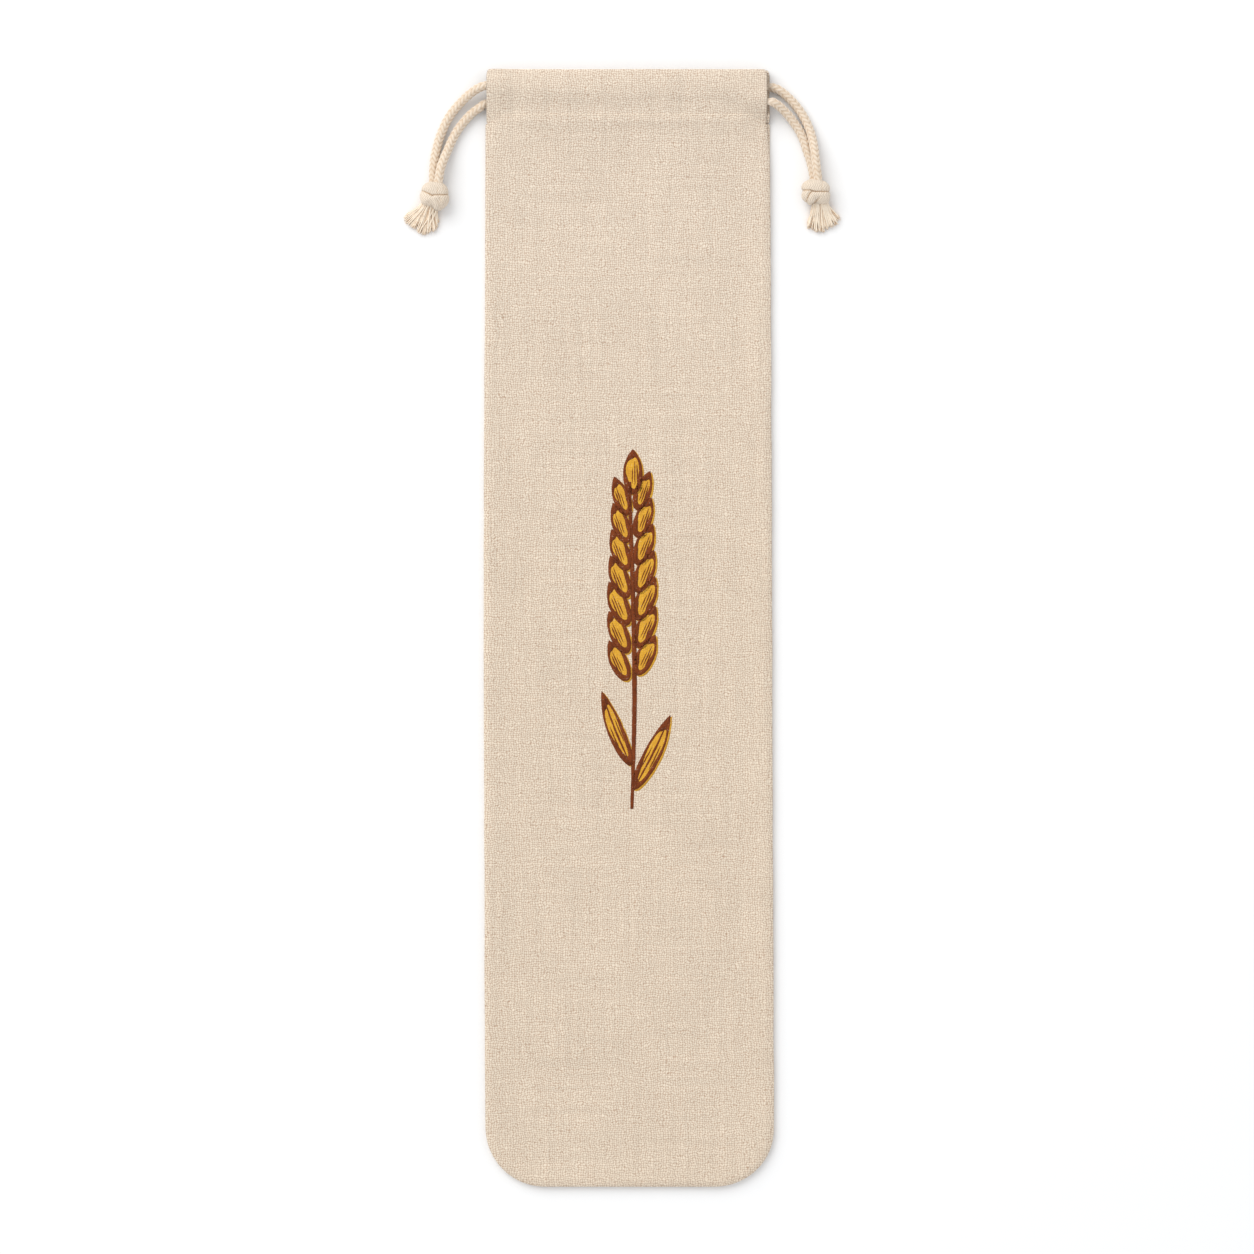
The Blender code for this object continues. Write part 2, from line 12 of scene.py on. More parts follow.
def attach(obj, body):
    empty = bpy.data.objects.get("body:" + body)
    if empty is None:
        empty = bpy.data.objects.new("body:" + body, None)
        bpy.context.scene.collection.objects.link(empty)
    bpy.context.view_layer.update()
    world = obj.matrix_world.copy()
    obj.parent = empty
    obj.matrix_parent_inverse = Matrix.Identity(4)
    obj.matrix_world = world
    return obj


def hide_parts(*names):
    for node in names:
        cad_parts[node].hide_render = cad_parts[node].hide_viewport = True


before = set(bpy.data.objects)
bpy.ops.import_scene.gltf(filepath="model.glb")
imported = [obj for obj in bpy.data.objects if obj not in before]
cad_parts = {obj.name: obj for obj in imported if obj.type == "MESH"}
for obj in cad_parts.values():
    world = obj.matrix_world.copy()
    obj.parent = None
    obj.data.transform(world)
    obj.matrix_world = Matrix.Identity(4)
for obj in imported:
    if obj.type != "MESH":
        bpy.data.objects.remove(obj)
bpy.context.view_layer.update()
print("frame loaded with", len(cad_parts), "solids")


# Small tools

def smoothStep(low, high, value):
    share = min(max((value - low) / (high - low), 0), 1)
    return share * share * (3 - 2 * share)


def mixValues(first, second, share):
    return first * (1 - share) + second * share


def readRows(rows, column, y):  # the rows run from the mouth down
    if y >= rows[0][0]:
        return rows[0][column]
    for above, below in zip(rows, rows[1:]):
        if y >= below[0]:
            return mixValues(below[column], above[column], (y - below[0]) / (above[0] - below[0]))
    return rows[-1][column]


def smoothCurve(points, spacing):  # a curve through the points, read about every spacing
    ends = [points[0] * 2 - points[1], *points, points[-1] * 2 - points[-2]]
    curve = []
    for before, start, end, after in zip(ends, ends[1:], ends[2:], ends[3:]):
        steps = max(1, round((end - start).length / spacing))
        for step in range(steps):
            t = step / steps
            bend = 2 * before - 5 * start + 4 * end - after
            swing = 3 * start - before - 3 * end + after
            curve.append(0.5 * (2 * start + (end - before) * t + bend * t * t + swing * t ** 3))
    return [*curve, points[-1]]


def curveLength(points):
    return sum((end - start).length for start, end in zip(points, points[1:]))


def addPiece(name, mesh, *finishes):  # turns a bmesh into a piece that rides on the bag
    data = bpy.data.meshes.new(name)
    mesh.to_mesh(data)
    mesh.free()
    piece = bpy.data.objects.new(name, data)
    bpy.context.scene.collection.objects.link(piece)
    for finish in finishes:
        data.materials.append(finish)
    data.shade_smooth()
    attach(piece, "root")
    return piece


def surfaceOf(piece):  # the finished surface, for what is laid or sewn on it
    return BVHTree.FromObject(piece, bpy.context.evaluated_depsgraph_get())


def drop(surface, x, y):  # the surface's height at (x, y), seen from above
    return surface.ray_cast(Vector((x, y, 1)), Vector((0, 0, -1)))[0].z


# Camera, floor and light

view = {
    "imageSize": 1254,
    "pixel": 0.000625,  # size of a pixel on the bag
    "bagMiddlePixel": (629, 628),
    "bagHeight": 0.004,
    "lens": 120,
    "sensor": 36,
}


def cameraDistance():  # from the camera to the bag's plane
    return view["imageSize"] * view["pixel"] * view["lens"] / view["sensor"]


def placeOf(pixelX, pixelY, height=view["bagHeight"]):  # where a pixel of the photograph lies at a height
    middleX, middleY = view["bagMiddlePixel"]
    nearer = 1 - (height - view["bagHeight"]) / cameraDistance()
    return (pixelX - middleX) * view["pixel"] * nearer, (middleY - pixelY) * view["pixel"] * nearer


def makeCamera():
    data = bpy.data.cameras.new("camera")
    data.lens = view["lens"]
    data.sensor_width = view["sensor"]
    data.clip_start = 0.05
    data.clip_end = 20
    camera = bpy.data.objects.new("camera", data)
    bpy.context.scene.collection.objects.link(camera)
    x, y = placeOf(view["imageSize"] / 2, view["imageSize"] / 2)
    camera.location = (x, y, view["bagHeight"] + cameraDistance())
    bpy.context.scene.camera = camera


studio = {
    "keyPlace": (-2.6, 3.2, 3.6),
    "keySize": 5.2,
    "keyPower": 190,
    "keyColour": (1.0, 0.985, 0.965),
    "roomColour": (0.965, 0.98, 1.0),
    "roomPower": 0.875,
    "floorSize": 12,
    "floorColour": (0.876, 0.874, 0.871),
}


def makeStudio():
    mesh = bmesh.new()
    bmesh.ops.create_grid(mesh, x_segments=4, y_segments=4, size=studio["floorSize"] / 2)
    data = bpy.data.meshes.new("floor")
    mesh.to_mesh(data)
    mesh.free()
    floor = bpy.data.objects.new("floor", data)
    bpy.context.scene.collection.objects.link(floor)
    paper = bpy.data.materials.new("floor paper")
    paper.use_nodes = True
    shader = paper.node_tree.nodes["Principled BSDF"]
    shader.inputs["Base Color"].default_value = (*studio["floorColour"], 1)
    shader.inputs["Roughness"].default_value = 0.95
    shader.inputs["Specular IOR Level"].default_value = 0.1
    data.materials.append(paper)
    light = bpy.data.lights.new("key", "AREA")
    light.shape = "DISK"
    light.size = studio["keySize"]
    light.energy = studio["keyPower"]
    light.color = studio["keyColour"]
    key = bpy.data.objects.new("key", light)
    bpy.context.scene.collection.objects.link(key)
    key.location = studio["keyPlace"]
    key.rotation_euler = (-Vector(studio["keyPlace"])).to_track_quat("-Z", "Y").to_euler()
    world = bpy.data.worlds.new("room")
    world.use_nodes = True
    background = world.node_tree.nodes["Background"]
    background.inputs["Color"].default_value = (*studio["roomColour"], 1)
    background.inputs["Strength"].default_value = studio["roomPower"]
    bpy.context.scene.world = world
    bpy.context.scene.view_settings.view_transform = "Standard"


makeCamera()
makeStudio()
print("camera and studio ready")


# Materials

class NodeDesk:  # short ways to add nodes to one material
    def __init__(self, name):
        self.material = bpy.data.materials.new(name)
        self.material.use_nodes = True
        self.tree = self.material.node_tree
        self.shader = self.tree.nodes["Principled BSDF"]

    def add(self, kind, inputs=None, **settings):
        node = self.tree.nodes.new(kind)
        for key, value in settings.items():
            setattr(node, key, value)
        for socket, value in (inputs or {}).items():
            if isinstance(value, bpy.types.NodeSocket):
                self.tree.links.new(value, node.inputs[socket])
            else:
                node.inputs[socket].default_value = value
        return node

    def sum(self, operation, first, second=0.0, third=0.0):
        inputs = {0: first, 1: second, 2: third}
        return self.add("ShaderNodeMath", inputs, operation=operation).outputs[0]

    def stretch(self, vector, factors):
        inputs = {0: vector, 1: factors}
        return self.add("ShaderNodeVectorMath", inputs, operation="MULTIPLY").outputs[0]

    def shift(self, vector, other):
        return self.add("ShaderNodeVectorMath", {0: vector, 1: other}, operation="ADD").outputs[0]

    def noise(self, vector, scale, detail=2.0, roughness=0.5):
        inputs = {"Vector": vector, "Scale": scale, "Detail": detail, "Roughness": roughness}
        return self.add("ShaderNodeTexNoise", inputs)

    def blend(self, share, first, second, mode="MIX"):
        inputs = {"Factor": share, "A": first, "B": second}
        node = self.tree.nodes.new("ShaderNodeMix")
        node.data_type = "RGBA"
        node.blend_type = mode
        sockets = {"Factor": node.inputs[0], "A": node.inputs[6], "B": node.inputs[7]}
        for key, value in inputs.items():
            if isinstance(value, bpy.types.NodeSocket):
                self.tree.links.new(value, sockets[key])
            else:
                sockets[key].default_value = value
        return node.outputs[2]

    def range(self, value, low, high, newLow=0.0, newHigh=1.0):
        inputs = {"Value": value, "From Min": low, "From Max": high, "To Min": newLow, "To Max": newHigh}
        return self.add("ShaderNodeMapRange", inputs).outputs[0]

    def finish(self, colour, height, depth, roughness, sheen):
        self.tree.links.new(colour, self.shader.inputs["Base Color"])
        bump = self.add("ShaderNodeBump", {"Height": height, "Strength": 1.0, "Distance": depth})
        self.tree.links.new(bump.outputs[0], self.shader.inputs["Normal"])
        self.shader.inputs["Roughness"].default_value = roughness
        self.shader.inputs["Specular IOR Level"].default_value = 0.2
        self.shader.inputs["Sheen Weight"].default_value = sheen
        self.shader.inputs["Sheen Roughness"].default_value = 0.6
        return self.material


linen = {
    "warpPitch": 0.00152,
    "weftPitch": 0.00140,
    "threadColour": (0.752, 0.645, 0.512, 1),
    # partly painted shade: the weave's low spots are drawn darker, and partly the gaps' own pinker tone
    "gapShadeColour": (0.430, 0.290, 0.200, 1),
    "speckColour": (0.210, 0.115, 0.060, 1),
    "mouthPaling": (1.012, 1.024, 1.048, 1),  # colour made a little paler and bluer towards the mouth
    "reliefDepth": 0.00015,
    "wander": 0.0040,
    "tremble": 0.0024,
}


def weave(desk):  # thread heights from 0 to 1, and the tones of single threads, on the flat cut
    flat = desk.add("ShaderNodeUVMap", uv_map="flatCut").outputs[0]
    slow = desk.noise(flat, 95.0, 1.0).outputs["Color"]
    wander = desk.stretch(desk.shift(slow, (-0.5, -0.5, -0.5)), (linen["wander"],) * 3)
    quick = desk.noise(flat, 520.0, 1.0).outputs["Color"]
    tremble = desk.stretch(desk.shift(quick, (-0.5, -0.5, -0.5)), (linen["tremble"],) * 3)
    place = desk.shift(desk.shift(flat, wander), tremble)
    parts = desk.add("ShaderNodeSeparateXYZ", {0: place})
    warpWave = desk.sum("SINE", desk.sum("MULTIPLY", parts.outputs[0], math.pi / linen["warpPitch"]))
    weftWave = desk.sum("SINE", desk.sum("MULTIPLY", parts.outputs[1], math.pi / linen["weftPitch"]))
    warp = desk.sum("POWER", desk.sum("ABSOLUTE", warpWave), 0.6)
    weft = desk.sum("POWER", desk.sum("ABSOLUTE", weftWave), 0.6)
    over = desk.range(desk.sum("MULTIPLY", warpWave, weftWave), -0.25, 0.25)
    upright = desk.sum("MULTIPLY", warp, over)
    level = desk.sum("MULTIPLY", weft, desk.sum("SUBTRACT", 1.0, over))
    height = desk.sum("ADD", upright, level)
    both = desk.sum("MULTIPLY", desk.sum("MULTIPLY", warp, weft), 0.6)
    height = desk.sum("MULTIPLY_ADD", height, 0.55, both)
    warpTone = desk.noise(desk.stretch(place, (1 / linen["warpPitch"], 14.0, 1.0)), 1.0, 1.0).outputs[0]
    weftTone = desk.noise(desk.stretch(place, (14.0, 1 / linen["weftPitch"], 1.0)), 1.0, 1.0).outputs[0]
    return flat, height, warpTone, weftTone


def makeLinen():
    desk = NodeDesk("linen")
    flat, height, warpTone, weftTone = weave(desk)
    # thread tops in the thread colour, low spots between threads in painted shade
    colour = desk.blend(desk.range(height, 0.15, 0.95), linen["gapShadeColour"], linen["threadColour"])
    tone = desk.range(desk.sum("ADD", warpTone, weftTone), 0.65, 1.35, 0.93, 1.06)
    patches = desk.range(desk.noise(flat, 28.0, 3.0, 0.6).outputs[0], 0.3, 0.7, 0.975, 1.02)
    fibres = desk.noise(flat, 1050.0, 3.0, 0.7).outputs[0]
    tone = desk.sum("MULTIPLY", tone, patches)
    tone = desk.sum("MULTIPLY", tone, desk.range(fibres, 0.25, 0.75, 0.88, 1.12))
    grey = desk.add("ShaderNodeCombineColor", {0: tone, 1: tone, 2: tone}).outputs[0]
    colour = desk.blend(1.0, colour, grey, "MULTIPLY")
    upwards = desk.range(desk.add("ShaderNodeSeparateXYZ", {0: flat}).outputs[1], 0.02, 0.26)
    paler = desk.blend(upwards, (1, 1, 1, 1), linen["mouthPaling"])
    colour = desk.blend(1.0, colour, paler, "MULTIPLY")
    cells = {"Vector": desk.stretch(flat, (1.0, 0.55, 1.0)), "Scale": 62.0}
    specks = desk.add("ShaderNodeTexVoronoi", cells)
    near = desk.range(specks.outputs["Distance"], 0.012, 0.028, 1.0, 0.0)
    chance = desk.add("ShaderNodeSeparateColor", {0: specks.outputs["Color"]}).outputs[0]
    chosen = desk.sum("GREATER_THAN", chance, 0.62)
    speck = desk.sum("MULTIPLY", desk.sum("MULTIPLY", near, chosen), 0.55)
    colour = desk.blend(speck, colour, linen["speckColour"])
    relief = desk.sum("MULTIPLY_ADD", fibres, 0.25, height)
    thick = desk.range(desk.sum("ADD", warpTone, weftTone), 0.7, 1.3, 0.0, 0.45)
    return desk.finish(colour, desk.sum("ADD", relief, thick), linen["reliefDepth"], 0.92, 0.12)


cotton = {
    "colour": (0.790, 0.676, 0.550, 1),
    # painted shade colour for the braid's grooves, the knots' creases and their rib valleys
    "shadeColour": (0.520, 0.345, 0.195, 1),
    # painted light: paler than the cord's cotton to make up for the shade among the frayed strands
    "threadColour": (0.885, 0.765, 0.618, 1),
    # painted shade colour for the strands' flanks, the lower strands and the stitch ends
    "threadShade": (0.800, 0.530, 0.290, 1),
    "fibreDepth": 0.00010,
}


def makeCotton(name, colour, shade, ribDepth=0.0, ribs=6, pitch=0.0032):
    desk = NodeDesk(name)
    around = desk.add("ShaderNodeUVMap", uv_map="around").outputs[0]
    parts = desk.add("ShaderNodeSeparateXYZ", {0: around})
    fibres = desk.noise(desk.stretch(around, (60.0, 1600.0, 1.0)), 1.0, 3.0, 0.6).outputs[0]
    lint = desk.noise(desk.add("ShaderNodeTexCoord").outputs["Object"], 900.0, 2.0).outputs[0]
    # the groove attribute is the share of painted shade at each point
    tone = desk.add("ShaderNodeAttribute", attribute_name="groove").outputs["Fac"]
    colour = desk.blend(tone, cotton[colour], cotton[shade])
    light = desk.range(desk.sum("ADD", fibres, lint), 0.6, 1.4, 0.88, 1.10)
    grey = desk.add("ShaderNodeCombineColor", {0: light, 1: light, 2: light}).outputs[0]
    colour = desk.blend(1.0, colour, grey, "MULTIPLY")
    height = desk.sum("MULTIPLY_ADD", lint, 0.6, fibres)
    if ribDepth:
        column = desk.sum("MULTIPLY", parts.outputs[0], float(ribs))
        fold = desk.sum("PINGPONG", column, 1.0)
        phase = desk.sum("ADD", desk.sum("DIVIDE", parts.outputs[1], pitch), fold)
        rib = desk.sum("ABSOLUTE", desk.sum("SINE", desk.sum("MULTIPLY", phase, math.pi)))
        height = desk.sum("MULTIPLY_ADD", rib, ribDepth / cotton["fibreDepth"], height)
        # painted shade in the valleys between the knot's ribs
        valley = desk.range(rib, 0.0, 0.7, 0.30, 0.0)
        colour = desk.blend(valley, colour, cotton[shade])
    return desk.finish(colour, height, cotton["fibreDepth"], 0.88, 0.15)


linenFinish = makeLinen()
cordFinish = makeCotton("braided cotton", "colour", "shadeColour")
knotFinish = makeCotton("knotted cotton", "colour", "shadeColour", ribDepth=0.00030, ribs=9, pitch=0.0019)
threadFinish = makeCotton("frayed cotton", "threadColour", "threadShade")
print("materials ready")


# The bag's cut, as it lies flat before it is sewn, and the heights at which its folds lie

cut = {
    "width": 0.1806,
    "length": 0.6990,
    "cornerRadius": 0.0375,
    "cloth": 0.0008,
    "foldRadius": 0.00065,
    "edgeInset": 0.00115,  # from the bag's edge in to the line where the fold begins
    "foldSteps": 4,
    "allowance": 0.008,
    "slitFoot": 0.3160,
    "clip": 0.0010,
    "hemFullTo": 0.3440,
    "hemHalfWidth": 0.0760,
    "cornerDraw": 0.0016,
    "cornerDepth": 0.0040,
    "leftLean": 0.0006,
    "rightLean": 0.0024,
    "leanRun": (-0.250, 0.300),
    "mouthDraw": 0.0005,
    "columnStep": 0.0042222,
    "rowStep": 0.0050,
    "arcSteps": 12,
    "strips": (0, 0.0011, 0.0022, 0.0036),
    "nearLine": 1e-5,  # closer than this, a point lies on a straight line
    "nearFold": 2e-4,  # and on the round fold
}

# The sides are never quite straight: y, how far the left and the right one stand out
sideRows = (
    (0.3400, 0.0000, 0.0004),
    (0.2860, 0.0003, 0.0005),
    (0.2360, 0.0004, 0.0007),
    (0.1860, 0.0006, 0.0009),
    (0.1360, 0.0009, 0.0008),
    (0.0860, 0.0011, 0.0007),
    (0.0360, 0.0010, 0.0005),
    (-0.0140, 0.0010, 0.0004),
    (-0.0640, 0.0008, 0.0002),
    (-0.1140, 0.0005, 0.0001),
    (-0.1640, 0.0002, 0.0001),
    (-0.2140, 0.0003, 0.0003),
    (-0.2640, 0.0000, 0.0003),
    (-0.3140, -0.0004, 0.0007),
    (-0.3360, -0.0003, 0.0011),
)

# Heights of the cloth's middle: y, front panel, its hem, the back panel's hem
casingRows = (
    (0.34835, 0.00925, 0.00580, 0.0018),
    (0.34660, 0.00990, 0.00600, 0.0024),
    (0.34440, 0.01035, 0.00620, 0.0032),
    (0.34130, 0.01085, 0.00640, 0.0044),
    (0.33750, 0.01115, 0.00640, 0.0050),
    (0.33440, 0.01100, 0.00640, 0.0050),
    (0.33130, 0.01010, 0.00640, 0.0050),
    (0.32810, 0.00895, 0.00630, 0.0049),
    (0.32500, 0.00810, 0.00620, 0.0040),
    (0.32190, 0.00760, 0.00620, 0.0022),
    (0.32030, 0.00745, 0.00630, 0.0019),
    (0.31810, 0.00775, 0.00620, 0.0018),
    (0.31630, 0.00760, 0.00570, 0.0018),
    (0.31310, 0.00680, 0.00490, 0.0018),
    (0.30940, 0.00600, 0.00390, 0.0018),
)
bodyRows = (
    (0.30940, 0.00600),
    (0.30630, 0.00555),
    (0.29880, 0.00490),
    (0.28940, 0.00440),
    (0.27370, 0.00390),
    (0.25000, 0.00360),
)
lie = {
    "backHeight": 0.0005,
    "edgeHeight": 0.0048,
    "rollDepth": 0.0008,  # the front rolls down a little along its seam
    "rollRun": 0.0036,
    "edgeSlope": 0.020,
    "slitRise": 0.0080,
    "mouths": ((-1, 0.3384, 0.0012, 0.0060), (1, 0.3283, 0.0032, 0.0056)),  # side, y, lift, reach
    "mouthRun": (0.066, 0.087),
    "slitRims": ((0.3205, 0.0042, 0.0060), (0.3464, 0.0034, 0.0056)),  # y, reach, height
    "slitRimRun": (0.080, 0.0885),
    "drawnRun": (0.287, 0.314),  # up to the slit the front's right edge draws in
}

# Waves: height, wavelengths along x and y, phases
bodyWaves = ((0.00035, 0.150, 0.230, 0.6, 0.3), (0.00025, 0.093, 0.410, 2.1, 1.2))

# Soft troughs and ridges in pixels of the photograph: two ends, half width, height
frontCreases = (
    ((492, 96), (492, 112), 7, -0.00050),
    ((510, 100), (514, 112), 8, -0.00060),
    ((536, 92), (552, 104), 8, -0.00060),
    ((585, 90), (592, 106), 9, -0.00075),
    ((606, 92), (622, 108), 8, -0.00055),
    ((640, 90), (656, 100), 8, -0.00070),
    ((682, 82), (682, 110), 6, -0.00085),
    ((700, 92), (714, 100), 7, -0.00060),
    ((730, 104), (742, 110), 6, -0.00050),
    ((566, 76), (570, 112), 6, 0.00025),
    ((628, 74), (632, 110), 7, 0.00020),
    ((664, 76), (668, 112), 6, 0.00030),
    ((722, 76), (722, 108), 8, 0.00025),
    ((493, 133), (520, 128), 5, -0.00055),
    ((520, 128), (558, 124), 5, -0.00030),
    ((574, 128), (655, 128), 5, -0.00042),
    ((684, 126), (705, 127), 5, -0.00022),
    ((716, 128), (734, 131), 5, -0.00022),
    ((494, 165), (508, 172), 8, -0.00020),
    ((545, 150), (575, 152), 9, -0.00020),
    ((675, 142), (700, 162), 9, -0.00018),
)


def foldLine(x, y):  # the nearest point of the side and bottom fold, the way out, how far out
    half = cut["width"] / 2 - cut["edgeInset"]
    bottom = cut["edgeInset"] - cut["length"] / 2
    radius = cut["cornerRadius"] - cut["edgeInset"]
    if y < bottom + radius and abs(x) > half - radius:
        centre = Vector((math.copysign(half - radius, x), bottom + radius))
        way = Vector((x, y)) - centre
        out = way.normalized()
        return centre + out * radius, out, way.length - radius
    if bottom - y > abs(x) - half:
        return Vector((x, bottom)), Vector((0, -1)), bottom - y
    side = math.copysign(1, x)
    return Vector((side * half, y)), Vector((side, 0)), abs(x) - half


def waveHeight(rows, x, y):
    total = 0
    for height, alongX, alongY, phaseX, phaseY in rows:
        total += height * math.sin(math.tau * x / alongX + phaseX) * math.sin(math.tau * y / alongY + phaseY)
    return total


def creaseHeight(x, y):
    total = 0
    for first, second, halfWidth, height in frontCreases:
        start, end = Vector(placeOf(*first)), Vector(placeOf(*second))
        run = end - start
        share = min(max((Vector((x, y)) - start).dot(run) / run.length_squared, 0), 1)
        away = (Vector((x, y)) - start - run * share).length / (halfWidth * view["pixel"])
        if away < 2.5:
            total += height * math.exp(-away * away)
    return total


def mouthLift(x, y):  # where a full round cord comes out from under the front panel
    for side, middle, lift, reach in lie["mouths"]:
        if x * side > 0:
            ends = smoothStep(*lie["mouthRun"], abs(x))
            return lift * ends * math.exp(-((y - middle) / reach) ** 2)
    return 0


def frontHeight(x, y):
    inset = -foldLine(x, y)[2]
    inward = smoothStep(0, lie["edgeSlope"], inset)
    inCasing = smoothStep(cut["slitFoot"], cut["slitFoot"] + lie["slitRise"], y)
    roll = lie["rollDepth"] * min(1, max(0, 1 - inset / lie["rollRun"])) ** 2
    edge = lie["edgeHeight"] - roll * (1 - inCasing)
    if y < casingRows[-1][0]:
        level = readRows(bodyRows, 1, y) + waveHeight(bodyWaves, x, y) + creaseHeight(x, y)
        return edge + (level - edge) * inward
    level = readRows(casingRows, 1, y) + creaseHeight(x, y)
    share = max(inCasing, smoothStep(0, lie["edgeSlope"], min(inset, cut["width"] / 2 - abs(x))))
    return edge + (level - edge) * share + mouthLift(x, y)


def frontHemHeight(x, y):
    return min(readRows(casingRows, 2, y), frontHeight(x, y) - cut["cloth"] - 0.0002)


def backHeight(x, y):  # beside the cords its edge stands up a little in the right slit
    rise = max(height * math.exp(-((y - middle) / reach) ** 2) for middle, reach, height in lie["slitRims"])
    return lie["backHeight"] + rise * smoothStep(*lie["slitRimRun"], x)


def backHemHeight(x, y):
    return readRows(casingRows, 3, y)


def lean(x, y):  # the sides lean in a little towards the mouth, and the top corners are rounded
    share = x / (cut["width"] / 2)
    drift = cut["rightLean"] if x > 0 else cut["leftLean"]
    rounded = max(0, (y - cut["length"] / 2 + cut["cornerDepth"]) / cut["cornerDepth"])
    draw = cut["cornerDraw"] * rounded * rounded * abs(share) ** 6
    stand = share * readRows(sideRows, 2 if x > 0 else 1, y)
    return x - share * drift * smoothStep(*cut["leanRun"], y) - math.copysign(draw, x) + stand


def unevenEdge(x, y, strength):  # sewn edges never run quite straight
    share = abs(x) / (cut["width"] / 2)
    sideways = noise.noise(Vector((math.copysign(3, x), y * 34, 0))) * strength * share ** 8
    high = smoothStep(0.335, 0.349, y)
    lengthways = (noise.noise(Vector((x * 42, 7, 0))) * strength * 1.3 - cut["mouthDraw"]) * high
    return sideways, lengthways


def foldedPlace(x, y, outer, hem, inward):  # where a point of the flat cut lies once it is folded
    mouth = cut["length"] / 2 - cut["edgeInset"]
    radius = cut["foldRadius"]
    halfTurn = math.pi * radius
    if y > mouth:
        past = y - mouth
        if past < halfTurn:
            angle = past / radius
            top, bottom = outer(x, mouth), hem(x, mouth)
            return x, mouth + radius * math.sin(angle), (top + bottom + (top - bottom) * math.cos(angle)) / 2
        lower = mouth - (past - halfTurn)
        return x, lower, hem(x, lower)
    foot, out, past = foldLine(x, y)
    if past <= 0 or y > cut["slitFoot"] - cut["clip"] / 2:
        return x, y, outer(x, y)
    middle = outer(foot.x, foot.y) + inward * radius
    if past < halfTurn:
        angle = past / radius
        place = foot + out * radius * math.sin(angle)
        return place.x, place.y, middle - inward * radius * math.cos(angle)
    place = foot - out * (past - halfTurn)
    return place.x, place.y, middle + inward * radius


def seamLine(inset):  # along the sides and the bottom, below the slits
    half = cut["width"] / 2 - cut["edgeInset"]
    radius = cut["cornerRadius"] - cut["edgeInset"]
    low = cut["edgeInset"] - cut["length"] / 2 + radius
    clip = cut["slitFoot"] - cut["clip"]
    points = [(inset - half, clip)]
    for side, start in ((-1, math.pi), (1, 1.5 * math.pi)):
        for step in range(cut["arcSteps"] + 1):
            angle = start + step / cut["arcSteps"] * math.pi / 2
            reach = radius - inset
            points.append((side * (half - radius) + reach * math.cos(angle), low + reach * math.sin(angle)))
    return [*points, (half - inset, clip)]


def layFlatCut(mesh, leftInset, rightInset):  # narrow strips along the seams, and one face inside them
    half = cut["width"] / 2 - cut["edgeInset"]
    left, right = leftInset - cut["width"] / 2, cut["width"] / 2 - rightInset
    mouth, foot = cut["length"] / 2 - cut["edgeInset"], cut["slitFoot"]
    lines = [[mesh.verts.new((x, y, 0)) for x, y in seamLine(inset)] for inset in cut["strips"]]
    for outer, inner in zip(lines, lines[1:]):
        for corners in zip(outer, outer[1:], inner[1:], inner):
            mesh.faces.new(corners)
    top = [(half, foot), (right, foot), (right, mouth), (left, mouth), (left, foot), (-half, foot)]
    around = [line[0] for line in lines[:-1]] + lines[-1] + [line[-1] for line in lines[-2::-1]]
    mesh.faces.new(around + [mesh.verts.new((x, y, 0)) for x, y in top])


def extrudeEdges(mesh, edges, place):  # one more row of cloth past the edges
    made = bmesh.ops.extrude_edge_only(mesh, edges=edges)["geom"]
    points = {part for part in made if isinstance(part, bmesh.types.BMVert)}
    for vert in points:
        vert.co.xy = place(vert.co.x, vert.co.y)
    lines = [part for part in made if isinstance(part, bmesh.types.BMEdge)]
    return [line for line in lines if all(vert in points for vert in line.verts)]


def turnOffsets():  # half a turn round a fold, in even steps
    halfTurn = math.pi * cut["foldRadius"]
    return halfTurn, [halfTurn * step / cut["foldSteps"] for step in range(1, cut["foldSteps"] + 1)]


def addAllowance(mesh):
    halfTurn, offsets = turnOffsets()
    offsets += [halfTurn + cut["allowance"] / 2, halfTurn + cut["allowance"]]
    top = cut["slitFoot"] - cut["clip"] + cut["nearLine"]

    def onFold(vert):
        return vert.co.y < top and abs(foldLine(vert.co.x, vert.co.y)[2]) < cut["nearFold"]
    edges = [line for line in mesh.edges if line.is_boundary and all(map(onFold, line.verts))]
    for offset in offsets:
        def place(x, y, offset=offset):
            foot, out, _ = foldLine(x, y)
            return foot + out * offset
        edges = extrudeEdges(mesh, edges, place)


def addHem(mesh):
    mouth = cut["length"] / 2 - cut["edgeInset"]
    halfTurn, offsets = turnOffsets()
    offsets += [halfTurn + mouth - row[0] for row in casingRows[1:]]
    widest = cut["hemHalfWidth"] + cut["nearLine"]

    def atMouth(vert):
        return vert.co.y > mouth - cut["nearLine"]
    edges = [line for line in mesh.edges if line.is_boundary and all(map(atMouth, line.verts))]
    for offset in offsets:
        if mouth - (offset - halfTurn) < cut["hemFullTo"]:
            edges = [line for line in edges if all(abs(vert.co.x) < widest for vert in line.verts)]

        def place(x, y, offset=offset):
            return Vector((x, mouth + offset))
        edges = extrudeEdges(mesh, edges, place)


def cutAcross(mesh, place, normal):
    parts = mesh.verts[:] + mesh.edges[:] + mesh.faces[:]
    bmesh.ops.bisect_plane(mesh, geom=parts, dist=1e-6, plane_co=place, plane_no=normal)


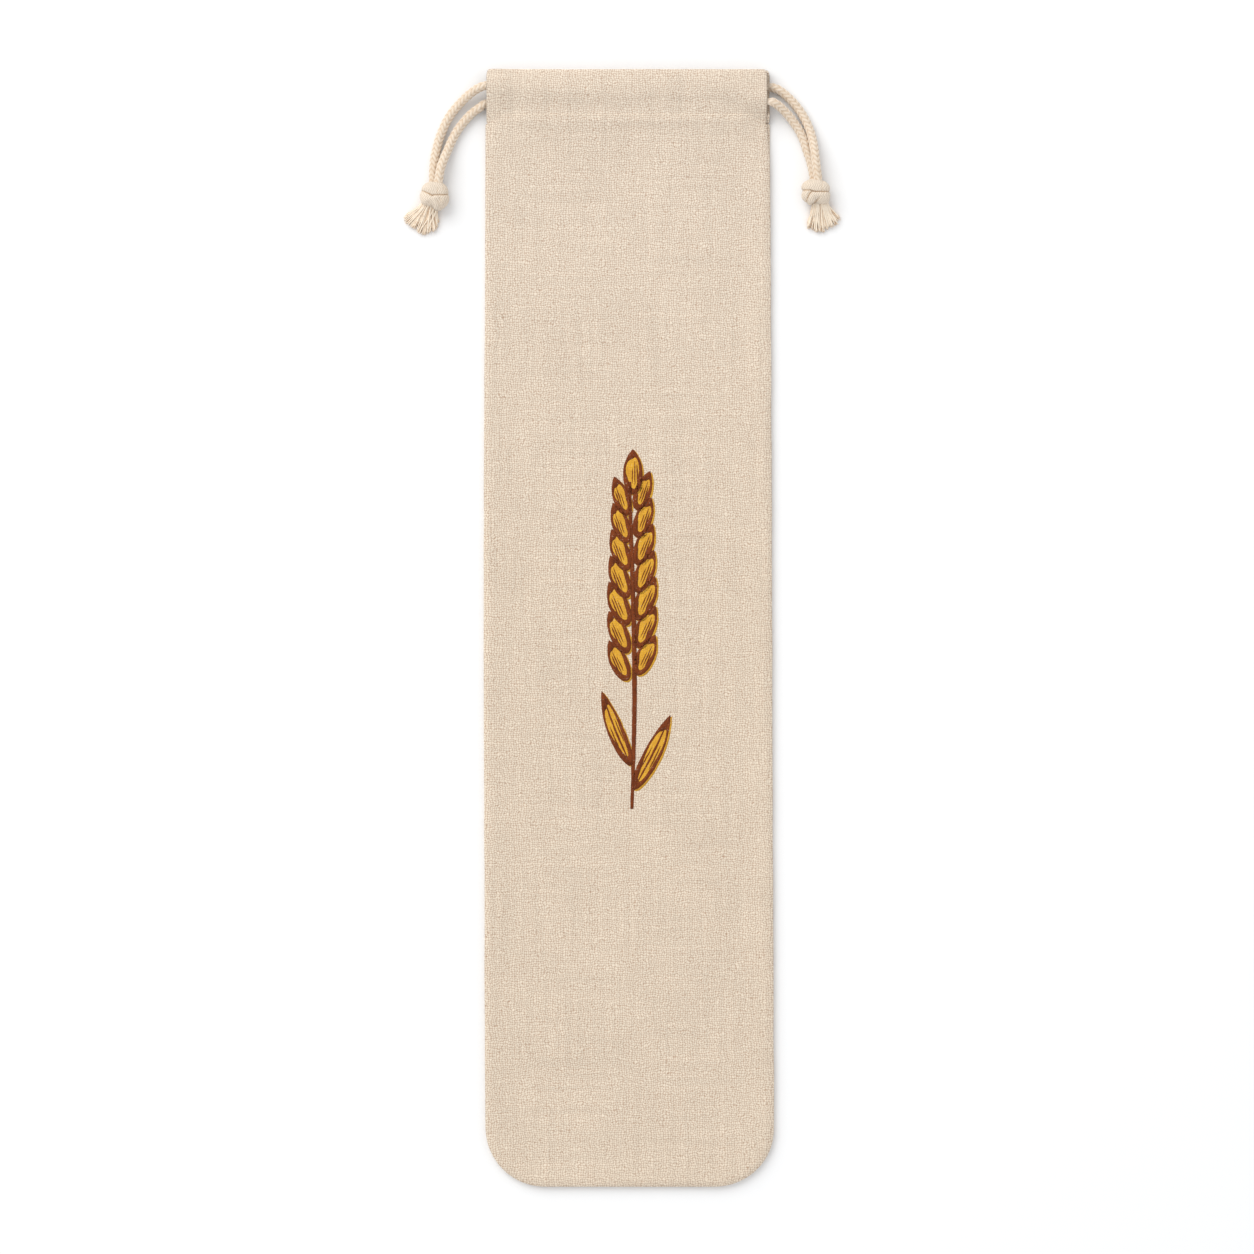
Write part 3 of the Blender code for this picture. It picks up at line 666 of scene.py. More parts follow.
def makePanel(name, insets, outer, hem, inward, uneven, drawnIn=0.0):
    mesh = bmesh.new()
    layFlatCut(mesh, *insets)
    columns = round(cut["hemHalfWidth"] / cut["columnStep"]) + 2
    for step in range(-columns, columns + 1):
        cutAcross(mesh, (step * cut["columnStep"], 0, 0), (1, 0, 0))
    heights = [row[0] for row in casingRows[1:]] + [row[0] for row in bodyRows[1:]]
    lowest = heights[-1]
    while lowest > cut["rowStep"] - cut["length"] / 2:
        lowest -= cut["rowStep"]
        heights.append(lowest)
    for height in heights:
        cutAcross(mesh, (0, height, 0), (0, 1, 0))
    addAllowance(mesh)
    addHem(mesh)
    uvs = mesh.loops.layers.uv.new("flatCut")
    for face in mesh.faces:
        for loop in face.loops:
            loop[uvs].uv = loop.vert.co.xy
    for vert in mesh.verts:
        x, y, z = foldedPlace(vert.co.x, vert.co.y, outer, hem, inward)
        sideways, lengthways = unevenEdge(x, y, uneven)
        drawn = drawnIn * smoothStep(*lie["drawnRun"], y) * max(0, x / (cut["width"] / 2)) ** 6
        vert.co = (lean(x, y) + sideways - drawn, y + lengthways, z)
    bmesh.ops.recalc_face_normals(mesh, faces=mesh.faces[:])
    piece = addPiece(name, mesh, linenFinish)
    wall = piece.modifiers.new("cloth thickness", "SOLIDIFY")
    wall.thickness = cut["cloth"]
    wall.offset = 0
    wall.use_even_offset = False
    soft = piece.modifiers.new("soft folds", "SUBSURF")
    soft.levels = 1
    soft.render_levels = 1
    return piece


frontPanel = makePanel("frontPanel", (0.0006, 0.0004), frontHeight, frontHemHeight, -1, 0.00030, 0.0017)
backPanel = makePanel("backPanel", (0.0006, 0.0002), backHeight, backHemHeight, 1, 0.00012)
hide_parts("front_panel")
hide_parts("back_panel")


# Braided cord: a round tube with the braid's plaits in relief

braid = {
    "diameter": 0.0058,
    "pressedWide": 0.0019,  # half sizes of the cord where the casing presses it flat
    "pressedHigh": 0.0013,
    "pressedFrom": 0.0845,
    "fullAt": 0.0905,
    "ribs": 6,
    "pitch": 0.0032,
    "slant": 0.95,
    "depth": 0.00050,
    "spacing": 0.0004,
    "sides": 42,
}


def plaitGroove(angle, along):  # 0 on a plait's back, 1 in the groove beside it
    column = (angle / math.tau * braid["ribs"]) % braid["ribs"]
    inside = column % 1
    way = 1 if int(column) % 2 == 0 else -1
    phase = along / braid["pitch"] + way * (inside - 0.5) * braid["slant"]
    plait = abs(math.sin(math.pi * phase)) ** 0.55
    middle = smoothStep(0, 0.14, min(inside, 1 - inside))
    # the plaits rise unevenly along the cord
    plaitUnevenness = 0.88 + 0.30 * noise.noise(Vector((along * 210, int(column) * 2.7, braid["ribs"])))
    return 1 - plait * min(1, (0.55 + 0.45 * middle) * plaitUnevenness + 0.12)


def newTubes():  # an empty mesh that tubes are swept into
    mesh = bmesh.new()
    mesh.loops.layers.uv.new("around")
    # groove: the share of painted shade at each point
    mesh.verts.layers.float.new("groove")
    return mesh


def markAround(mesh, seats, sides):  # the map runs once round a tube and along it in metres
    uvs = mesh.loops.layers.uv["around"]
    for face in mesh.faces:
        if face.verts[0] not in seats:
            continue
        columns = [seats[vert][0] for vert in face.verts]
        wraps = max(columns) - min(columns) > sides / 2
        for loop in face.loops:
            column, along = seats[loop.vert]
            if wraps and column < sides / 2:
                column += sides
            loop[uvs].uv = (column / sides, along)


def sweepTube(mesh, path, sides, sectionAt):  # sectionAt gives reach sideways, reach up and the share of painted shade, kept as groove
    groove = mesh.verts.layers.float["groove"]
    up = Vector((0, 0, 1))
    seats, along, ring, edges = {}, 0, [], []
    for index, place in enumerate(path):
        ahead = (path[min(index + 1, len(path) - 1)] - path[max(index - 1, 0)]).normalized()
        across = ahead.cross(up).normalized()
        rise = across.cross(ahead)
        if index == 0:
            ring = bmesh.ops.create_circle(mesh, segments=sides, radius=1)["verts"]
            edges = list({line for vert in ring for line in vert.link_edges})
            mesh.faces.new(ring)
        else:
            along += (place - path[index - 1]).length
            made = bmesh.ops.extrude_edge_only(mesh, edges=edges)["geom"]
            fresh = {part for part in made if isinstance(part, bmesh.types.BMVert)}
            lines = [part for part in made if isinstance(part, bmesh.types.BMEdge)]
            edges = [line for line in lines if all(vert in fresh for vert in line.verts)]
            steps = ({line.other_vert(vert) for line in vert.link_edges} & fresh for vert in ring)
            ring = [step.pop() for step in steps]
        for column, vert in enumerate(ring):
            sideways, upwards, depth = sectionAt(math.tau * column / sides, along, place)
            vert.co = place + across * sideways + rise * upwards
            vert[groove] = depth
            seats[vert] = (column, along)
    mesh.faces.new(ring)
    markAround(mesh, seats, sides)


def cordSection(angle, along, place):
    full = smoothStep(braid["pressedFrom"], braid["fullAt"], abs(place.x))
    groove = plaitGroove(angle, along)
    outer = braid["diameter"] / 2 - braid["depth"] * groove
    wide = mixValues(braid["pressedWide"], outer, full)
    high = mixValues(braid["pressedHigh"], outer, full)
    # third value: painted shade in the braid's grooves
    return wide * math.cos(angle), high * math.sin(angle), groove * full * 0.9


def asVectors(rows):
    return [Vector(row) for row in rows]


# The four free ends, from inside the slit to inside the knot, as their solids lie
leftUpperTail = asVectors((
    (-0.0830, 0.3384, 0.0092),
    (-0.0891, 0.3384, 0.0093), (-0.0935, 0.3371, 0.0082), (-0.0977, 0.3347, 0.0066),
    (-0.1025, 0.3309, 0.0048), (-0.1064, 0.3270, 0.0036), (-0.1104, 0.3224, 0.00295),
    (-0.1139, 0.3169, 0.0029), (-0.1166, 0.3110, 0.0029), (-0.1188, 0.3051, 0.0029),
    (-0.1204, 0.2987, 0.0031), (-0.1216, 0.2925, 0.0036), (-0.1221, 0.2863, 0.0040),
    (-0.1223, 0.2799, 0.0036), (-0.1222, 0.2750, 0.0036),
))
leftLowerTail = asVectors((
    (-0.0830, 0.3280, 0.0032),
    (-0.0896, 0.3276, 0.0037), (-0.0933, 0.3252, 0.0040), (-0.0974, 0.3224, 0.0034),
    (-0.1009, 0.3191, 0.0030), (-0.1045, 0.3149, 0.0029), (-0.1073, 0.3110, 0.0029),
    (-0.1098, 0.3066, 0.0031), (-0.1119, 0.3020, 0.0037), (-0.1138, 0.2974, 0.0048),
    (-0.1157, 0.2925, 0.0066), (-0.1177, 0.2863, 0.0082), (-0.1187, 0.2799, 0.0085),
    (-0.1194, 0.2750, 0.0080),
))
rightUpperTail = asVectors((
    (0.0830, 0.3382, 0.0032),
    (0.0886, 0.3380, 0.0035), (0.0925, 0.3368, 0.0040), (0.0959, 0.3347, 0.0036),
    (0.1011, 0.3301, 0.0031), (0.1060, 0.3244, 0.0029), (0.1099, 0.3182, 0.0030),
    (0.1128, 0.3116, 0.0036), (0.1148, 0.3044, 0.0052), (0.1160, 0.2956, 0.0080),
    (0.1169, 0.2875, 0.0090), (0.1177, 0.2815, 0.0090), (0.1180, 0.2765, 0.0086),
))
rightLowerTail = asVectors((
    (0.0830, 0.3284, 0.0092),
    (0.0880, 0.3283, 0.0094), (0.0905, 0.3277, 0.0088), (0.0941, 0.3254, 0.0074),
    (0.0992, 0.3206, 0.0052), (0.1034, 0.3154, 0.0038), (0.1069, 0.3101, 0.0031),
    (0.1095, 0.3042, 0.0029), (0.1113, 0.2985, 0.0029), (0.1133, 0.2925, 0.0029),
    (0.1148, 0.2863, 0.0031), (0.1156, 0.2813, 0.0032), (0.1160, 0.2765, 0.0036),
))


def addCord(name, path, sides):  # one braided cord along the path
    mesh = newTubes()
    sweepTube(mesh, path, sides, cordSection)
    bmesh.ops.recalc_face_normals(mesh, faces=mesh.faces[:])
    piece = addPiece(name, mesh, cordFinish)
    return piece


# Inside the casing each cord runs through the front channel, round the far slit and back
casingRun = {
    "cords": (  # name, side, front channel's y and height, back channel's y, y at the slit
        ("leftCordInCasing", -1, 0.3392, 0.0087, 0.3278, 0.3384),
        ("rightCordInCasing", 1, 0.3325, 0.0083, 0.3384, 0.3284),
    ),
    "nearX": 0.0835,  # where it meets its free ends, inside the slit
    "nearHeight": 0.0092,
    "bendX": 0.0760,
    "bendShare": 0.7,
    "frontX": 0.0680,
    "farX": 0.0745,
    "turnReach": 0.0066,
    "backHeight": 0.0031,
    "endHeight": 0.0032,
    "stride": 0.0135,
    "frontSteps": 11,
    "turnSteps": 6,
    "backSteps": 12,
    "spacing": 0.0012,
    "sides": 20,
}


def casingRoute(side, frontY, frontZ, backY, startY):
    near, far, stride = side * casingRun["nearX"], -side * casingRun["farX"], side * casingRun["stride"]
    nearZ, backZ, share = casingRun["nearHeight"], casingRun["backHeight"], casingRun["bendShare"]
    bend = (side * casingRun["bendX"], mixValues(startY, frontY, share), mixValues(nearZ, frontZ, share))
    route = [(near, startY, nearZ), bend]
    for step in range(casingRun["frontSteps"]):
        route.append((side * casingRun["frontX"] - stride * step, frontY, frontZ))
    for step in range(1, casingRun["turnSteps"]):
        angle = math.pi * step / casingRun["turnSteps"]
        share = (1 - math.cos(angle)) / 2
        x = far - side * casingRun["turnReach"] * math.sin(angle)
        route.append((x, mixValues(frontY, backY, share), mixValues(frontZ, backZ, share)))
    for step in range(casingRun["backSteps"]):
        route.append((far + stride * step, backY, backZ))
    return asVectors([*route, (near, backY, casingRun["endHeight"])])


for name, *places in casingRun["cords"]:
    addCord(name, smoothCurve(casingRoute(*places), casingRun["spacing"]), casingRun["sides"])
tails = {}
for name, route in (
    ("leftUpperCordEnd", leftUpperTail),
    ("leftLowerCordEnd", leftLowerTail),
    ("rightUpperCordEnd", rightUpperTail),
    ("rightLowerCordEnd", rightLowerTail),
):
    path = smoothCurve(route, braid["spacing"])
    tails[name] = addCord(name, path, braid["sides"]), path
    print(name, "is", round(curveLength(tails[name][1]), 4), "long")
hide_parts("drawcord_left")
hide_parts("drawcord_right")
print("cords ready")


# Knots: balls of wrapped cord whose bands meet in creases, in pixels of the photograph

knots = {
    "left": {
        "middle": (434.7, 196.2),
        "outline": (
            (428.3, 181.8), (434.8, 181.5), (441.4, 182.3), (446.3, 185.6), (448.3, 191.0), (449.1, 196.8),
            (447.7, 203.0), (444.1, 207.8), (439.6, 210.7), (436.3, 210.9), (433.0, 207.4), (427.5, 205.1),
            (422.4, 203.9), (420.4, 201.0), (419.7, 196.2), (420.9, 189.6), (423.6, 184.3),
        ),
        "creases": (  # x, y, depth
            ((419.0, 189.4, 0.4), (423.1, 190.8, 0.9), (426.3, 192.1, 1.0), (431.6, 194.9, 1.3),
             (435.2, 194.3, 0.9), (440.0, 194.5, 0.9), (445.9, 194.2, 1.0), (449.5, 193.4, 0.6)),
            ((438.6, 185.0, 0.0), (437.4, 189.0, 0.35), (437.9, 194.2, 0.4)),
            ((437.6, 195.6, 0.1), (440.4, 199.7, 0.5), (444.3, 203.8, 0.1)),
            ((434.6, 198.0, 0.0), (438.4, 202.4, 0.35), (440.8, 207.8, 0.2)),
            ((427.2, 197.4, 0.0), (428.4, 201.4, 0.2), (431.8, 206.4, 0.3)),
            ((443.2, 184.4, 0.3), (443.9, 187.8, 0.4), (446.4, 190.4, 0.0)),
            ((433.8, 196.6, -0.25), (436.2, 196.2, -0.35), (438.6, 196.3, -0.25)),
            ((441.0, 196.2, -0.25), (443.6, 195.9, -0.35), (446.2, 196.2, -0.2)),
            ((440.2, 198.0, -0.2), (443.0, 200.6, -0.35), (445.2, 203.0, -0.1)),
        ),
    },
    "right": {
        "middle": (815.8, 192.2),
        "outline": (
            (809.3, 179.1), (816.0, 178.9), (821.8, 179.8), (826.3, 181.8), (829.6, 185.6), (830.4, 192.3),
            (829.8, 198.6), (827.8, 202.9), (821.8, 203.8), (816.4, 203.2), (812.2, 205.6), (808.0, 203.9),
            (803.7, 200.4), (801.8, 195.4), (802.2, 190.1), (801.2, 187.3), (803.2, 182.8),
        ),
        "creases": (
            ((801.0, 189.9, 0.6), (804.5, 189.6, 0.8), (809.7, 189.5, 1.0), (811.7, 190.8, 1.5),
             (817.3, 191.2, 1.1), (824.0, 191.4, 1.1), (831.0, 190.6, 0.8)),
            ((811.7, 190.8, 1.4), (808.4, 195.0, 1.1), (806.6, 199.4, 0.8), (806.2, 203.4, 0.4)),
            ((821.2, 195.9, 0.1), (816.9, 200.8, 0.9), (812.6, 205.6, 1.3)),
            ((823.2, 180.6, 0.4), (821.9, 184.8, 0.2), (823.0, 189.8, 0.45)),
            ((813.5, 193.4, -0.3), (819.0, 193.4, -0.35), (826.0, 193.6, -0.2)),
            ((805.0, 192.0, -0.2), (804.4, 196.5, -0.3)),
        ),
    },
    "halfHeight": 0.0067,
    "rimHeight": 0.0090,
    "creaseHeight": 0.0138,
    "power": 2.35,
    "shoulder": 1.1,
    "crease": 0.0013,
    "narrow": 0.00042,
    "broad": 0.0017,
    "unevenness": 0.00020,
    "swerve": 0.00030,
    "mapWidth": 0.018,  # length of the braid's map along and round the knot
    "mapTurn": 0.009,
}


def outlineTable(knot):  # how far the knot reaches from its middle, for each degree
    middle = Vector(placeOf(*knot["middle"], knots["rimHeight"]))
    rim = [Vector(placeOf(*pixel, knots["rimHeight"])) - middle for pixel in knot["outline"]]
    rim = sorted((math.atan2(point.y, point.x) % math.tau, point.length) for point in rim)
    rim = [(rim[-1][0] - math.tau, rim[-1][1]), *rim, (rim[0][0] + math.tau, rim[0][1])]
    rough = []
    for degree in range(360):
        angle = math.radians(degree)
        for (before, near), (after, far) in zip(rim, rim[1:]):
            if before <= angle <= after:
                rough.append(mixValues(near, far, (angle - before) / (after - before)))
                break
    return [sum(rough[(degree + step) % 360] for step in range(-6, 7)) / 13 for degree in range(360)]


def readTable(table, angle):
    degree = math.degrees(angle) % 360
    low = int(degree)
    return mixValues(table[low % 360], table[(low + 1) % 360], degree - low)


def creaseDepth(spot, creases):  # how deep, and how much of it is the narrow line
    deepest, highest, line = 0, 0, 0
    for crease in creases:
        near, deep = 1, 0
        for start, end in zip(crease, crease[1:]):
            run = (end - start).xy
            share = min(max((spot.xy - start.xy).dot(run) / run.length_squared, 0), 1)
            away = (spot.xy - start.xy - run * share).length
            if away < near:
                near, deep = away, mixValues(start.z, end.z, share)
        narrow = deep * math.exp(-(near / knots["narrow"]) ** 2)
        broad = deep * math.exp(-(near / knots["broad"]) ** 2)
        deepest = max(deepest, 0.6 * narrow + 0.4 * broad)
        highest = min(highest, 0.7 * broad)
        line = max(line, narrow)
    return (deepest + highest) * knots["crease"], line


def makeKnot(name, knot):
    middle = Vector((*placeOf(*knot["middle"], knots["rimHeight"]), knots["halfHeight"] + 0.0001))
    reach = outlineTable(knot)
    top = knots["creaseHeight"]
    creases = [[Vector((*placeOf(x, y, top), deep)) for x, y, deep in crease] for crease in knot["creases"]]
    mesh = newTubes()
    bmesh.ops.create_icosphere(mesh, subdivisions=7, radius=1)
    groove = mesh.verts.layers.float["groove"]
    for vert in mesh.verts:
        way = vert.co.copy()
        angle = math.atan2(way.y, way.x)
        power = knots["power"] + knots["shoulder"] * max(0, math.sin(angle)) ** 2
        size = (way.xy.length ** power + abs(way.z) ** power) ** (-1 / power)
        wide = readTable(reach, angle) * size
        offset = Vector((way.x * wide, way.y * wide, way.z * size * knots["halfHeight"]))
        swerve = noise.noise_vector((middle + offset) * 420) * knots["swerve"]
        depth, line = creaseDepth(middle + offset + swerve, creases)
        offset += noise.noise_vector((middle + offset) * 240) * knots["unevenness"]
        vert.co = middle + offset - offset.normalized() * depth
        vert.co.z = max(vert.co.z, 0.0001)
        # painted shade along the narrow lines of the creases
        vert[groove] = min(1, line * 0.70)
    uvs = mesh.loops.layers.uv["around"]
    for face in mesh.faces:
        turns = [math.atan2(vert.co.x - middle.x, vert.co.z - middle.z) for vert in face.verts]
        for loop, turn in zip(face.loops, turns):
            if max(turns) - turn > math.pi:
                turn += math.tau
            loop[uvs].uv = ((loop.vert.co.y - middle.y) / knots["mapWidth"], turn * knots["mapTurn"])
    piece = addPiece(name, mesh, knotFinish)
    return piece


leftKnot = makeKnot("leftKnot", knots["left"])
rightKnot = makeKnot("rightKnot", knots["right"])
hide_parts("knot_left")
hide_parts("knot_right")
print("knots ready")


# Frayed ends: strands that leave the knot together and fan out, in pixels of the photograph

frays = {
    "left": {
        "root": ((421.6, 202.4), (437.4, 209.6)),
        "tips": (
            (404.2, 216.8), (404.0, 220.6), (407.0, 224.4), (410.8, 227.0), (418.0, 233.6), (423.7, 235.2),
            (428.5, 233.4), (433.2, 231.0), (436.6, 227.4), (437.9, 221.5),
        ),
        "count": 140,
        "strays": ((0.80, 0.46, 1.0), (0.97, 0.60, 0.9)),  # share at the root, at the tips, reach
    },
    "right": {
        "root": ((812.2, 204.2), (828.0, 202.6)),
        "tips": (
            (808.0, 222.0), (807.8, 228.4), (812.6, 229.6), (816.4, 232.0), (820.0, 231.4), (823.8, 231.9),
            (827.2, 229.2), (832.4, 227.4), (836.6, 224.6), (840.9, 218.4),
        ),
        "count": 140,
        "strays": ((0.30, 0.42, 1.0), (0.62, 0.70, 0.95)),
    },
    "inside": 0.0034,
    "lowest": 0.0012,
    "highest": 0.0074,
    "radius": 0.00047,
    "steps": 14,
    "gathering": 0.42,
}


def readLine(points, share):  # a point of the line, by its share of the line's points
    place = min(max(share, 0), 1) * (len(points) - 1)
    low = min(int(place), len(points) - 2)
    return mixValues(points[low], points[low + 1], place - low)


def strandPath(fray, rootShare, tipShare, reach, layer, curl, phase):
    first, last = (Vector(placeOf(*pixel)) for pixel in fray["root"])
    side = (last - first).normalized()
    ahead = Vector((side.y, -side.x))
    root = mixValues(first, last, rootShare)
    tip = readLine([Vector(placeOf(*pixel)) for pixel in fray["tips"]], tipShare)
    tip = mixValues(root, tip, reach)
    length = (tip - root).length
    leave, arrive = root + ahead * 0.30 * length, tip - (tip - root) * 0.35
    lens = math.sqrt(max(0, 1 - (rootShare * 2 - 1) ** 2 * 0.85))
    rootZ = mixValues(frays["lowest"], frays["highest"], 0.5 + (layer - 0.5) * lens)
    tipZ = frays["radius"] + 0.0024 * layer ** 1.5
    path = []
    for step in range(-2, frays["steps"]):
        along = step / (frays["steps"] - 1)
        if along < 0:
            spot = root + ahead * (frays["inside"] * step / 2)
            level = rootZ
        else:
            back = 1 - along
            spot = root * back ** 3 + leave * 3 * back * back * along + arrive * 3 * back * along * along
            spot += tip * along ** 3 + side * (curl * math.sin(phase + 5.2 * along) * along)
            level = tipZ + (rootZ - tipZ) * back ** 1.5
            level += 0.0004 * math.sin(phase * 1.7 + 6 * along) * along * back
        path.append(Vector((spot.x, spot.y, max(level, frays["radius"]))))
    return path


def makeFrayedEnds(name, fray, seed):
    dice = random.Random(seed)
    mesh = newTubes()
    last = len(fray["tips"]) - 1
    for number in range(fray["count"]):
        share = (number + dice.uniform(0.1, 0.9)) / fray["count"]
        clump = round(share * last) / last
        tip = mixValues(share, clump, frays["gathering"]) + dice.gauss(0, 0.010)
        addStrand(mesh, fray, share, tip, dice.uniform(0.86, 1.01), dice.random(), dice)
    for rootShare, tipShare, reach in fray["strays"]:
        addStrand(mesh, fray, rootShare, tipShare, reach, 1.0, dice)
    bmesh.ops.recalc_face_normals(mesh, faces=mesh.faces[:])
    piece = addPiece(name, mesh, threadFinish)
    return piece


def addStrand(mesh, fray, rootShare, tipShare, reach, layer, dice):
    curl, phase = dice.gauss(0, 0.00040), dice.uniform(0, math.tau)
    path = strandPath(fray, rootShare, tipShare, reach, layer, curl, phase)
    # lower strands take more painted shade
    paintedShade = 0.9 * (1 - layer) ** 1.5 * dice.uniform(0.5, 1.0)
    thick = frays["radius"] * dice.uniform(0.8, 1.1)
    whole = curveLength(path)

    def section(turn, along, place):
        radius = thick * (1 - 0.35 * smoothStep(0.8, 1.0, along / whole))
        ply = 1 + 0.14 * math.cos(2 * turn + along / 0.0011)
        flankShade = 0.7 * (1 - smoothStep(-0.3, 0.7, math.sin(turn)))  # warm painted shade on each strand's flanks and underside, which fills the gaps between strands
        return radius * ply * math.cos(turn), radius * ply * math.sin(turn), min(1, paintedShade + flankShade)
    sweepTube(mesh, path, 9, section)


leftFray = makeFrayedEnds("leftFrayedEnds", frays["left"], 21)
rightFray = makeFrayedEnds("rightFrayedEnds", frays["right"], 34)
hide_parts("frayed_ends_left")
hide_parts("frayed_ends_right")
for name, exitPoint, knot, fray in (
    ("leftUpperCordEnd", leftUpperTail[1], leftKnot, leftFray),
    ("leftLowerCordEnd", leftLowerTail[1], leftKnot, leftFray),
    ("rightUpperCordEnd", rightUpperTail[1], rightKnot, rightFray),
    ("rightLowerCordEnd", rightLowerTail[1], rightKnot, rightFray),
):
    piece, path = tails[name]
    length = round(curveLength(path), 3)
print("frayed ends ready")


# Sewing: one line of stitches across the front panel's casing

sewing = {
    "lineY": 0.32030,
    "run": 0.0868,
    "stitch": 0.0027,
    "gap": 0.0007,
    "radius": 0.00022,
    "sink": 0.00040,
    "rise": 0.00016,
    "wave": 0.00012,
    "tremble": 0.00004,
    "slant": 0.0001,
    "steps": 6,
    "sides": 6,
}


def addStitch(mesh, surface, x, level, length):  # both of its ends sink into the cloth
    path = []
    for step in range(sewing["steps"] + 1):
        along = step / sewing["steps"]
        spot = x + length * along
        bow = math.sin(math.pi * along) ** 0.6
        height = drop(surface, spot, level) + mixValues(-sewing["sink"], sewing["rise"], bow)
        path.append(Vector((spot, level + sewing["slant"] * along, height)))
    whole = curveLength(path)

    def section(turn, along, place):
        # painted shade at both ends, where the stitch sinks into the cloth
        paintedShade = 0.7 * smoothStep(0.38, 0.50, abs(along / whole - 0.5))
        return sewing["radius"] * math.cos(turn), sewing["radius"] * math.sin(turn), paintedShade
    sweepTube(mesh, path, sewing["sides"], section)


def makeStitches(name, surface, seed):
    dice = random.Random(seed)
    mesh = newTubes()
    x = -sewing["run"]
    while x + sewing["stitch"] < sewing["run"]:
        length = sewing["stitch"] * dice.uniform(0.92, 1.06)
        level = sewing["lineY"] + sewing["wave"] * math.sin(x * 90) + dice.gauss(0, sewing["tremble"])
        addStitch(mesh, surface, x, level, length)
        x += length + sewing["gap"] * dice.uniform(0.8, 1.2)
    bmesh.ops.recalc_face_normals(mesh, faces=mesh.faces[:])
    piece = addPiece(name, mesh, threadFinish)


frontSurface = surfaceOf(frontPanel)
makeStitches("frontCasingStitches", frontSurface, 5)
print("stitches ready")


# Print: a generic ear of wheat in two inks, with the brown lines a little off the golden shapes

printing = {
    "middle": (0.0019, 0.0),
    "goldShift": (0.0010, -0.0008),
    "goldLift": 0.00004,
    "brownLift": 0.00007,
    "inkDepth": 0.00005,
    "line": 0.0021,
    "rough": 0.00022,
    "gold": (0.700, 0.372, 0.031, 1),
    "goldDark": (0.585, 0.280, 0.0255, 1),
    "brown": (0.206, 0.042, 0.0050, 1),
    "brownDark": (0.135, 0.026, 0.0030, 1),
    "grainRows": 7,
    "grainStep": 0.0172,
    "grainLength": 0.0300,
    "grainWidth": 0.0122,
    "grainTilt": 25,
    "firstGrain": -0.0330,
    "stemFoot": -0.1130,
    "stemWidth": 0.0030,
    "stemSteps": 60,
    "grainLines": (  # across, from, to, width
        (0.44, 0.26, 0.66, 0.00090),
        (0.20, 0.20, 0.74, 0.00078),
        (-0.05, 0.24, 0.58, 0.00066),
    ),
    "grainLineSteps": 8,
    "leafLines": (
        (0.0, 0.04, 0.88, 0.0013),
        (0.42, 0.30, 0.62, 0.0008),
        (-0.42, 0.24, 0.56, 0.0008),
    ),
    "leafLineSteps": 16,
    "leaves": (  # foot, tilt, length, width, bend
        ((-0.0004, -0.0860), 27, 0.0500, 0.0105, 0.0045),
        ((0.0006, -0.1010), -31, 0.0520, 0.0110, -0.0040),
    ),
}


def makeInk(name, colour, darkColour):
    desk = NodeDesk(name)
    flat, height = weave(desk)[:2]
    patches = desk.noise(flat, 170.0, 3.0, 0.6).outputs[0]
    ink = desk.blend(desk.range(patches, 0.35, 0.65), darkColour, colour)
    bare = desk.noise(flat, 900.0, 2.0, 0.6).outputs[0]
    missed = desk.sum("MULTIPLY", desk.range(bare, 0.62, 0.74), desk.range(patches, 0.4, 0.6, 0.1, 0.55))
    ink = desk.blend(missed, ink, linen["threadColour"])
    shade = desk.range(height, 0.1, 0.9, 0.84, 1.06)
    grey = desk.add("ShaderNodeCombineColor", {0: shade, 1: shade, 2: shade}).outputs[0]
    ink = desk.blend(1.0, ink, grey, "MULTIPLY")
    return desk.finish(ink, height, linen["reliefDepth"], 0.85, 0.05)


def ragged(x, y):  # ink creeps along the threads, so no edge is sharp
    fine = noise.noise_vector(Vector((x * 900, y * 900, 4)))
    drift = fine + 0.6 * noise.noise_vector(Vector((x * 300, y * 300, 9)))
    return x + drift.x * printing["rough"], y + drift.y * printing["rough"]


def grainPlace(x, y, length, width, bend=0.0):  # a point of the unit disc, in a pointed grain
    rise = (y + 1) / 2
    slim = (1 - max(y, 0) ** 2) ** 0.35 * (1 - 0.12 * y)
    return x * width / 2 * slim + bend * rise * rise, rise * length


def layShape(mesh, verts, toPlace):
    for vert in verts:
        vert.co.xy = toPlace(vert.co.x, vert.co.y)


def addFilled(mesh, toPlace, segments=48, rings=4):
    loops, inner = [], None
    for ring in range(rings, 0, -1):
        verts = bmesh.ops.create_circle(mesh, segments=segments, radius=ring / rings)["verts"]
        loops.append(verts)
        if inner:
            edges = {line for vert in inner + verts for line in vert.link_edges}
            bmesh.ops.bridge_loops(mesh, edges=[line for line in edges if line.is_boundary or line.is_wire])
        inner = verts
    mesh.faces.new(inner)
    layShape(mesh, [vert for loop in loops for vert in loop], toPlace)


def addLoop(mesh, toPlace, share, segments=64):  # a closed line round a shape, share of its width thick
    outer = bmesh.ops.create_circle(mesh, segments=segments, radius=1)["verts"]
    inner = bmesh.ops.create_circle(mesh, segments=segments, radius=1)["verts"]
    for number, vert in enumerate(inner):
        vert.co *= 1 - share * (1 + 0.28 * math.sin(3 * math.tau * number / segments + 1))
    edges = {line for vert in outer + inner for line in vert.link_edges}
    bmesh.ops.bridge_loops(mesh, edges=list(edges))
    layShape(mesh, outer + inner, toPlace)


